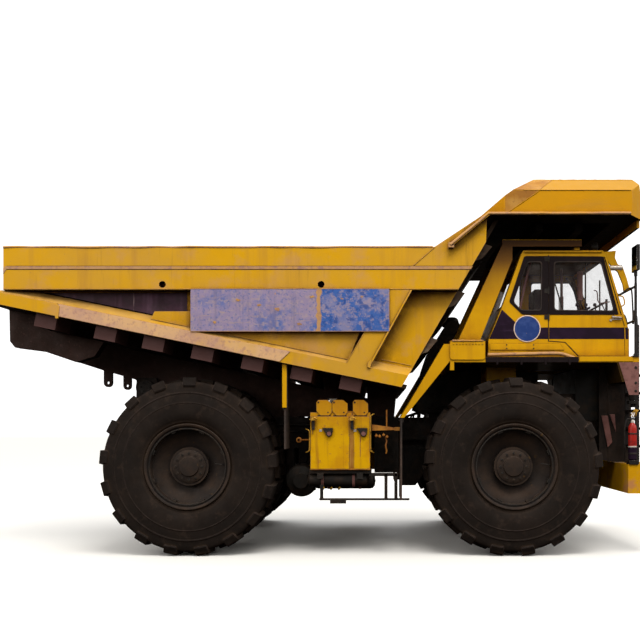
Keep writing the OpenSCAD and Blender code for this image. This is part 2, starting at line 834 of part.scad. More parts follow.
module canopy() {
    half = canopy_w / 2;
    z0 = canopy_low;
    z1 = z0 + lip_t;
    top = z0 + canopy_h;
    edge_x = canopy_rear_x;
    color("#e5ae17") {
        difference() {
            union() {
                translate([0, 0, z0]) linear_extrude(lip_t) polygon([
                    [edge_x + 106, -half], [canopy_lip_x, -half], [canopy_front_x, -half + 300],
                    [canopy_front_x, half - 300], [canopy_lip_x, half], [edge_x + 106, half]
                ]);
                intersection() {
                    slab([
                        [edge_x, z1 - eps], [edge_x + 840, top], [canopy_front_x - 90, top],
                        [canopy_front_x - 10, z1 + 330],
                        [canopy_front_x - 10, z1 - eps]
                    ], -half, half);
                    rotate([90, 0, 90]) linear_extrude(canopy_front_x) polygon([
                        [-half + 40, z1 - eps], [half - 40, z1 - eps], [half - 40, z1 + 327],
                        [half - 420, top],
                        [-half + 420, top], [-half + 40, z1 + 327]
                    ]);
                    linear_extrude(top + 10) polygon([
                        [edge_x, -half + 420], [edge_x + 388, -half], [canopy_lip_x, -half],
                        [canopy_front_x, -half + 300], [canopy_front_x, half - 300], [canopy_lip_x, half],
                        [edge_x + 388, half], [edge_x, half - 420]
                    ]);
                }
            }
            block([edge_x + 850, -half + 500 + eps, z0 - eps],
                [canopy_front_x - 400, half - 500 - eps, top - canopy_t]);
        }
        both_sides() slab([
            [foot_x + 708, body_top + 20], [foot_x + 740, body_top - 10], [edge_x + 130, z0],
            [edge_x + 106, z1]
        ], -half, -rail_y - 0.3);
        for (at = canopy_beam_at)
            block([edge_x + at, -half + 500, z0 - 120],
                [edge_x + at + 110, half - 500, top - canopy_t + eps]);
        block([canopy_front_x - 60, -half + 320, z0 - 115], [canopy_front_x - 20, half - 320, z0 + eps]);
    }
}

rail_low = rail_top + 25;
beam_w = 200;
beam_y = frame_y - 10 - beam_w / 2;
tail_beam_y = rail_y - 1000;
tail_lug_d = 150;

// Ribs under the floor, and the two beams that lie on the frame and hang on the hinge pins
module body_rails() {
    back = tail_x + 60;
    lug_x = pivot_x - 700;
    lug_z = pivot_z + 80;
    drop = (rib_h + 0.3) / cos(floor_slope);
    seats = [foot_x - rib_at[0] + rib_w / 2 + 50, foot_x - rib_at[len(rib_at) - 1] - rib_w / 2 - 50];
    color("#4a3a22") {
        on_floor() for (x = rib_at)
            translate([-x / cos(floor_slope), 0, 0]) difference() {
                block([-rib_w / 2, -rail_y + 120, -rib_h], [rib_w / 2, rail_y - 120, -0.3]);
                block([-rib_w / 2 + rib_t, -rail_y + 120 + rib_t, -rib_h + rib_t],
                    [rib_w / 2 - rib_t, rail_y - 120 - rib_t, 0]);
            }
        both_sides() difference() {
            union() {
                slab([
                    [back, floor_z(back) - 0.5], [back + 20, pivot_z + 650], [back + 140, pivot_z + 610],
                    [lug_x - 60, pivot_z + 290], [pivot_x - 200, pivot_z + 130],
                    [pivot_x, pivot_z - 190], [pivot_x + 330, rail_low], [foot_x - 60, rail_low],
                    [foot_x - 20, floor_z(foot_x - 20) - 0.5], [seats[0], floor_z(seats[0]) - 0.5],
                    [seats[0], floor_z(seats[0]) - drop], [seats[1], floor_z(seats[1]) - drop],
                    [seats[1], floor_z(seats[1]) - 0.5]
                ], -beam_y - beam_w / 2, -beam_y + beam_w / 2);
                pin_y(pivot_x, -beam_y, pivot_z, 400, beam_w);
                pin_y(lug_x, -beam_y, lug_z, tail_lug_d, 60);
                block([lug_x - tail_lug_d / 2, -beam_y - 30, lug_z],
                    [lug_x + tail_lug_d / 2, -beam_y + 30, pivot_z + 400]);
            }
            pin_y(lug_x, -beam_y, lug_z, tail_lug_d / 3, 60 + 2 * eps);
            pin_y(pivot_x, -beam_y, pivot_z, hinge_pin_d + pin_gap, beam_w + 2 * eps);
            block([pivot_x + 450, -beam_y - beam_w / 2 + rib_t, rail_low + rib_t],
                [foot_x - rib_at[0], -beam_y + beam_w / 2 - rib_t, pivot_z + 1000]);
        }
        both_sides() slab([
            [back, floor_z(back) - 0.5], [back + 10, pivot_z + 680], [back + 90, pivot_z + 580],
            [back + 550, pivot_z + 520], [back + 1050, pivot_z + 350], [back + 1350, pivot_z + 440],
            [back + 1500, floor_z(back + 1500) - drop], [seats[1], floor_z(seats[1]) - drop],
            [seats[1], floor_z(seats[1]) - 0.5]
        ], -tail_beam_y - beam_w / 2, -tail_beam_y + beam_w / 2);
        both_sides() for (y = [-hoist_y - eye_w / 2 - run_gap - 40, -hoist_y + eye_w / 2 + run_gap])
            slab([
                [hoist_top[0] - 180, floor_z(hoist_top[0] - 180) - 3],
                [hoist_top[0] - 100, hoist_top[1] - 60],
                [hoist_top[0] + 100, hoist_top[1] - 60],
                [hoist_top[0] + 180, floor_z(hoist_top[0] + 180) - 3]
            ], y, y + 40);
    }
}

flap_hanger_l = 647;
flap_l = 646;

module rock_flaps() {
    x = foot_x - 1760;
    y = -rail_y + 60;
    low = floor_z(x + 70) - flap_hanger_l;
    color("#4c4a47") both_sides() {
        block([x, y, low], [x + 70, y + 80, floor_z(x + 70) - 0.3]);
        block([x + 20, y + 20, low + 30 - flap_l], [x + 45, y + 540, low + 30]);
    }
}

// Wheels

// A tyre has flat faces only: one sector of the carcass for each lug of its two rows
lug_n = 17;
lug_w = 200;
lug_foot = 14;
lug_gap = 20;
sector = 180 / lug_n;
tread_r = tyre_d / 2 - lug_h;
tread_y = tyre_w / 2 - 70;

// Outline of the carcass, from the axle and the tyre's middle: seat, bead, side wall, shoulder
tyre_rings = [
    [rim_d / 2, tyre_w / 2 - 90], [rim_d / 2 + 210, tyre_w / 2], [tread_r, tread_y],
    [tread_r, -tread_y], [rim_d / 2 + 210, -tyre_w / 2], [rim_d / 2, -tyre_w / 2 + 90]
];

module carcass() {
    n = 2 * lug_n;
    m = len(tyre_rings);
    points = [for (k = [0:n - 1], p = tyre_rings)
        [p[0] / cos(sector / 2) * sin((k + 0.5) * sector), p[1],
        -p[0] / cos(sector / 2) * cos((k + 0.5) * sector)]];
    faces = [for (k = [0:n - 1], i = [0:m - 1])
        [k * m + i, k * m + (i + 1) % m, (k + 1) % n * m + (i + 1) % m, (k + 1) % n * m + i]];
    polyhedron(points, faces);
}

module lug() {
    low = tread_r - 15;
    slab([
        [-lug_w / 2 - lug_foot, -low], [-lug_w / 2, -tyre_d / 2], [lug_w / 2, -tyre_d / 2],
        [lug_w / 2 + lug_foot, -low]
    ], lug_gap, tread_y - 12);
}

module tyre_at(x, y) {
    color("#2a2826") translate([x, y, axle_z]) {
        carcass();
        for (i = [0:lug_n - 1]) {
            rotate([0, i * 2 * sector, 0]) lug();
            rotate([0, (2 * i + 1) * sector, 0]) mirror([0, 1, 0]) lug();
        }
    }
}

// A rim: barrel with flanges, and a disc towards the outside
module rim_at(x, y, out) {
    r0 = rim_d / 2;
    half = tyre_w / 2;
    color("#c9971c") translate([x, y, axle_z]) rotate([out * 90, 0, 0]) rotate_extrude($fn = 72)
        polygon([
            [hub_d / 2, half - 330], [r0 - 60, half - 250], [r0 - 60, -half + 60], [r0 + 20, -half + 30],
            [r0 + 20, -half + 60], [r0 - 0.5, -half + 88], [r0 - 0.5, half - 88], [r0 + 20, half - 60],
            [r0 + 20, half - 30], [r0 - 60, half - 60], [r0 - 60, half - 190], [hub_d / 2, half - 270]
        ]);
}

front_spindle_d = 200;

module knuckle(side) {
    y = side * king_y;
    color("#4b453e") {
        translate([front_axle_x, y, axle_z - 330]) cylinder(d = 290, h = 520);
        translate([front_axle_x, y, axle_z + 100]) cylinder(d = 210, h = strut_low - axle_z - 100.5);
        bar([front_axle_x, y, axle_z],
            [front_axle_x, side * (front_tyre_y + 100), axle_z], front_spindle_d);
        block([front_axle_x - steer_arm, y - 70, axle_z - 330], [front_axle_x, y + 70, axle_z - 250]);
        translate([front_axle_x - steer_arm, y, axle_z - 330]) cylinder(d = 150, h = 80);
    }
}

module tie_rod() {
    z = axle_z - 395;
    x = front_axle_x - steer_arm + 20;
    color("#4b453e") {
        bar([x, -king_y, z], [x, king_y, z], 80);
        for (y = [-king_y, king_y])
            translate([x, y, z - 50]) cylinder(d = 140, h = 114.5);
    }
}

module tyre_front_right() { tyre_at(front_axle_x, -front_tyre_y); }
module tyre_front_left() { tyre_at(front_axle_x, front_tyre_y); }

module tyres_rear(side) {
    tyre_at(rear_axle_x, side * inner_tyre_y);
    tyre_at(rear_axle_x, side * outer_tyre_y);
}

module tyres_rear_right() { tyres_rear(-1); }
module tyres_rear_left() { tyres_rear(1); }

module rim_front(side) {
    y = side * front_tyre_y;
    color("#c9971c") difference() {
        union() {
            rim_at(front_axle_x, y, -side);
            pin_y(front_axle_x, y + side * 45, axle_z, hub_d + 20, 340);
        }
        pin_y(front_axle_x, y - side * 65, axle_z, front_spindle_d + pin_gap, 340);
    }
}

module rim_front_right() { rim_front(-1); }
module rim_front_left() { rim_front(1); }

module rims_rear(side) {
    color("#c9971c") difference() {
        union() {
            rim_at(rear_axle_x, side * inner_tyre_y, side);
            rim_at(rear_axle_x, side * outer_tyre_y, -side);
            pin_y(rear_axle_x, side * (inner_tyre_y + outer_tyre_y) / 2, axle_z, hub_d + 20,
                dual_pitch + 400);
        }
        pin_y(rear_axle_x, side * (spindle_end - 575), axle_z, spindle_d + pin_gap, 1160);
    }
}

module rims_rear_right() { rims_rear(-1); }
module rims_rear_left() { rims_rear(1); }

module knuckle_right() { knuckle(-1); }
module knuckle_left() { knuckle(1); }

// Hoist: a barrel on the frame, a middle stage and a rod whose eye meets the body

hoist_v = [hoist_top[0] - hoist_base[0], hoist_top[1] - hoist_base[1]];
hoist_l = norm(hoist_v);
hoist_lean = atan2(hoist_v[0], hoist_v[1]);

module on_hoist(side) {
    translate([hoist_base[0], side * hoist_y, hoist_base[1]]) rotate([0, hoist_lean, 0]) children();
}

module hoist_barrel(side) {
    color("#b98a1a") on_hoist(side) difference() {
        union() {
            pin_y(0, 0, 0, 200, eye_w);
            translate([0, 0, 60]) cylinder(d = barrel_d, h = hoist_l - 220);
        }
        pin_y(0, 0, 0, hoist_pin_d + pin_gap, eye_w + 2 * eps);
        translate([0, 0, 119.7]) cylinder(d = stage_d + 2 * run_gap, h = hoist_l);
    }
}

module hoist_stage(side) {
    color("#9a958c") on_hoist(side) difference() {
        translate([0, 0, 120]) cylinder(d = stage_d, h = hoist_l - 220);
        translate([0, 0, 179.7]) cylinder(d = rod_d + 2 * run_gap, h = hoist_l);
    }
}

module hoist_rod(side) {
    color("#bdbab3") on_hoist(side) {
        translate([0, 0, 180]) cylinder(d = rod_d, h = hoist_l - 180);
        pin_y(0, 0, hoist_l, 190, eye_w);
    }
}

module hoist_barrels_right() { hoist_barrel(-1); }
module hoist_barrels_left() { hoist_barrel(1); }
module hoist_stage_right() { hoist_stage(-1); }
module hoist_stage_left() { hoist_stage(1); }
module hoist_rod_right() { hoist_rod(-1); }
module hoist_rod_left() { hoist_rod(1); }

frame();
bumper();
rear_axle();
struts();
engine();
powertrain();
grille();
deck();
fenders();
cab_shell();
cab_glass();
cab_door();
door_glass();
cab_interior();
rops();
handrails();
ladders();
valve_tank();
fuel_tank();
air_cleaners();
lamps();
mud_flaps();
body_floor();
body_sides();
upper_rails();
side_plates();
body_front();
canopy();
body_rails();
rock_flaps();
knuckle_right();
knuckle_left();
tie_rod();
tyre_front_right();
tyre_front_left();
tyres_rear_right();
tyres_rear_left();
rim_front_right();
rim_front_left();
rims_rear_right();
rims_rear_left();
hoist_barrels_right();
hoist_barrels_left();
hoist_stage_right();
hoist_stage_left();
hoist_rod_right();
hoist_rod_left();
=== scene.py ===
import math
import random

import bmesh
import bpy
from mathutils import Matrix, Vector


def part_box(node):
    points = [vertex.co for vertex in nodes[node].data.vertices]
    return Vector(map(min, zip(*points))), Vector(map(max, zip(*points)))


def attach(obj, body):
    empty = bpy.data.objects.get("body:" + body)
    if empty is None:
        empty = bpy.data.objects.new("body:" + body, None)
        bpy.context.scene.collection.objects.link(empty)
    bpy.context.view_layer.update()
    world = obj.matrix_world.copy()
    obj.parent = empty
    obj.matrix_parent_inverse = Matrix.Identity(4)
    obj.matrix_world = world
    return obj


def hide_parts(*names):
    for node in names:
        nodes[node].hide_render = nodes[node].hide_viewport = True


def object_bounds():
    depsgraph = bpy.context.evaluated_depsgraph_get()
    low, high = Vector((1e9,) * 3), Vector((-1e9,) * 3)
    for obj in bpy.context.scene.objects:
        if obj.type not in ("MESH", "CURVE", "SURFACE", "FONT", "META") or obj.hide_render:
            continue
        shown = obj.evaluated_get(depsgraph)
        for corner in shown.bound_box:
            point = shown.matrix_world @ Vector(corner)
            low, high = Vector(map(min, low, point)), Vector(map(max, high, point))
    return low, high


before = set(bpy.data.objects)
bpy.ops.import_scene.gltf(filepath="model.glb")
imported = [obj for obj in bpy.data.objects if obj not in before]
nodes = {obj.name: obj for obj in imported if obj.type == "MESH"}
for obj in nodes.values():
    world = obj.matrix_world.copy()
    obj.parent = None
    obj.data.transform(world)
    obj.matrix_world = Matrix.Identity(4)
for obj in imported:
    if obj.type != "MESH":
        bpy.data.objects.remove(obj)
cadLow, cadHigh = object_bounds()
random.seed(11)
print("frame loaded,", len(nodes), "nodes")

# main planes, read from the frame, in metres
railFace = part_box("upper_rails")[1].y          # outer face of the body's side rails
railLow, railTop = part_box("upper_rails")[0].z, 4.6
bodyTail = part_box("upper_rails")[0].x
wallFace = railFace - 0.175
cabLow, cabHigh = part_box("cab_shell")
deckTop = cabLow.z
footX, floorLow = 1.2, 2.53                    # foot of the front wall
floorSlope, frontSlope = math.radians(11.6), math.radians(59.8)
tyreLow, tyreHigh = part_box("tyre_front_right")
frontAxleX = (tyreLow.x + tyreHigh.x) / 2
rearAxleX = sum(corner.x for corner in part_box("tyres_rear_right")) / 2
tyreWidth = tyreHigh.y - tyreLow.y
frontTyreY = -(tyreLow.y + tyreHigh.y) / 2
axleZ = (tyreLow.z + tyreHigh.z) / 2
outerTyreY = -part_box("tyres_rear_right")[0].y - tyreWidth / 2
innerTyreY = -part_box("tyres_rear_right")[1].y + tyreWidth / 2
bothSides = (-1, 1)
sideNames = (("right", -1), ("left", 1))


def floorZ(x):
    return floorLow + (footX - x) * math.tan(floorSlope)


def frontX(z):
    return footX + (z - floorLow) / math.tan(frontSlope)


# node helpers for the materials

def tint(code):                                # hex to linear
    parts = [int(code[i:i + 2], 16) / 255 for i in (1, 3, 5)]
    return tuple(c / 12.92 if c <= 0.04045 else ((c + 0.055) / 1.055) ** 2.4 for c in parts) + (1,)


def newMaterial(name):
    material = bpy.data.materials.new(name)
    material.use_nodes = True
    return material, material.node_tree, material.node_tree.nodes["Principled BSDF"]


def addNode(tree, kind, values=None, **settings):
    node = tree.nodes.new("ShaderNode" + kind)
    for key, value in settings.items():
        setattr(node, key, value)
    for key, value in (values or {}).items():
        if isinstance(value, bpy.types.NodeSocket):
            tree.links.new(value, node.inputs[key])
        else:
            node.inputs[key].default_value = value
    return node


def limits(tree, value, low, high):            # 0 at low, 1 at high
    return addNode(tree, "MapRange", {"Value": value, "From Min": low, "From Max": high}).outputs["Result"]


def rangeOf(tree, value, low, high):           # low at 0, high at 1
    return addNode(tree, "MapRange", {"Value": value, "To Min": low, "To Max": high}).outputs["Result"]


def product(tree, first, second):
    return addNode(tree, "Math", {0: first, 1: second}, operation="MULTIPLY").outputs[0]


def noiseMask(tree, scale, low, high, stretch=(1, 1, 1), detail=5, shift=0):
    place = addNode(tree, "TexCoord").outputs["Object"]
    moved = addNode(tree, "Mapping", {"Vector": place, "Scale": stretch, "Location": (shift, shift, shift)})
    noise = addNode(tree, "TexNoise", {"Vector": moved.outputs[0], "Scale": scale, "Detail": detail,
                                       "Roughness": 0.62})
    return limits(tree, noise.outputs["Fac"], low, high)


def mixTint(tree, mask, first, second):
    node = addNode(tree, "Mix", data_type="RGBA")
    for socket, value in ((node.inputs[0], mask), (node.inputs[6], first), (node.inputs[7], second)):
        if isinstance(value, bpy.types.NodeSocket):
            tree.links.new(value, socket)
        else:
            socket.default_value = value
    return node.outputs[2]


def creviceMask(tree, reach, amount):          # dirt and painted shade where faces meet
    hollow = addNode(tree, "AmbientOcclusion", {"Distance": reach}, samples=5)
    return limits(tree, hollow.outputs["AO"], 0.92, 1 - amount)


def edgeMask(tree, width):                     # paint goes first along edges
    rounded = addNode(tree, "Bevel", {"Radius": width}, samples=3)
    true = addNode(tree, "NewGeometry")
    dot = addNode(tree, "VectorMath", {0: rounded.outputs[0], 1: true.outputs["Normal"]},
                  operation="DOT_PRODUCT")
    return limits(tree, dot.outputs["Value"], 0.985, 0.9)


def axisValue(tree, axis, space="Object"):
    return addNode(tree, "SeparateXYZ", {0: addNode(tree, "TexCoord").outputs[space]}).outputs[axis]


def axisMask(tree, axis, low, high):           # by the place along one axis
    return limits(tree, axisValue(tree, axis), low, high)


def underMask(tree, low=-0.2, high=-0.7):      # faces that look down
    return limits(tree, axisValue(tree, "Z", "Normal"), low, high)


def sideMask(tree, low, high):                 # by the distance from the middle of the truck
    away = addNode(tree, "Math", {0: axisValue(tree, "Y")}, operation="ABSOLUTE").outputs[0]
    return limits(tree, away, low, high)


def insideMask(tree, reach):                   # the body's inner walls
    return sideMask(tree, reach + 0.004, reach)


def pocketMask(tree, reach, top, back, front):     # painted shade in the hollow below the canopy's plate
    along = product(tree, axisMask(tree, "X", back, back + 0.05), axisMask(tree, "X", front, front - 0.05))
    return product(tree, product(tree, insideMask(tree, reach), axisMask(tree, "Z", top, top - 0.02)),
                   along)


layerMasks = {
    "blotch": lambda tree, a: noiseMask(tree, *a[:3], shift=a[3] if len(a) > 3 else 0),
    "streak": lambda tree, a: noiseMask(tree, *a, stretch=(1, 1, 0.06)),
    "scrape": lambda tree, a: noiseMask(tree, *a, stretch=(0.12, 1, 1)),
    "crevice": lambda tree, a: product(tree, creviceMask(tree, *a), noiseMask(tree, 5, 0.2, 0.5)),
    "edge": lambda tree, a: product(tree, edgeMask(tree, a[0]), noiseMask(tree, a[1], a[2], a[2] + 0.08)),
    # painted shade on faces that look down
    "under": lambda tree, a: underMask(tree),
    "top": lambda tree, a: product(tree, underMask(tree, 0.4, 0.9), noiseMask(tree, 3, *a)),
    "height": lambda tree, a: axisMask(tree, "Z", *a),
    # painted shade by place along the length, on the bumper and fenders
    "behind": lambda tree, a: axisMask(tree, "X", *a),
    "inside": lambda tree, a: insideMask(tree, *a),
    "insideWear": lambda tree, a: product(tree, insideMask(tree, a[0]),
                                          noiseMask(tree, *a[1:], stretch=(0.16, 1, 1))),
    "outside": lambda tree, a: sideMask(tree, a[0], a[0] + 0.02),
    "pocket": lambda tree, a: pocketMask(tree, *a),
}


def toneOf(word):
    return tint(tones.get(word, word))


def layered(name, head, layers):               # base colour with one layer of wear, dirt and painted shade over another
    material, tree, shader = newMaterial(name)
    base, roughLow, roughHigh, *others = head.split()
    look = {"bump": 0.15, "metal": 0, "dent": 0, "grain": 40, "shine": 0.3}
    look.update((key, float(value)) for key, value in zip(others[::2], others[1::2]))
    colour = toneOf(base)
    for layer in layers.split("; "):
        kind, tone, *numbers = layer.split()
        strength, *mask = [float(number) for number in numbers]
        colour = mixTint(tree, product(tree, layerMasks[kind](tree, mask), strength), colour, toneOf(tone))
    tree.links.new(colour, shader.inputs["Base Color"])
    tree.links.new(rangeOf(tree, noiseMask(tree, 6, 0.3, 0.7), float(roughLow), float(roughHigh)),
                   shader.inputs["Roughness"])
    grain = noiseMask(tree, look["grain"], 0.25, 0.75, detail=4)
    bump = addNode(tree, "Bump", {"Height": grain, "Strength": look["bump"], "Distance": 0.004})
    if look["dent"]:
        bump = addNode(tree, "Bump", {"Height": noiseMask(tree, 1.7, 0.2, 0.8, detail=2), "Distance": 0.05,
                                      "Strength": look["dent"], "Normal": bump.outputs[0]})
    tree.links.new(bump.outputs[0], shader.inputs["Normal"])
    shader.inputs["Metallic"].default_value = look["metal"]
    tree.links.new(rangeOf(tree, underMask(tree), look["shine"], 0.02),   # downward faces lose their shine along with the painted shade
                   shader.inputs["Specular IOR Level"])
    return material


# the crevice tone is dirt with painted shade
# the darkest tone is painted shade, for the under, behind and pocket layers
tones = {"yellow": "#e2a802", "wornTan": "#cf9c62", "grime": "#4a280e", "soot": "#120b08"}
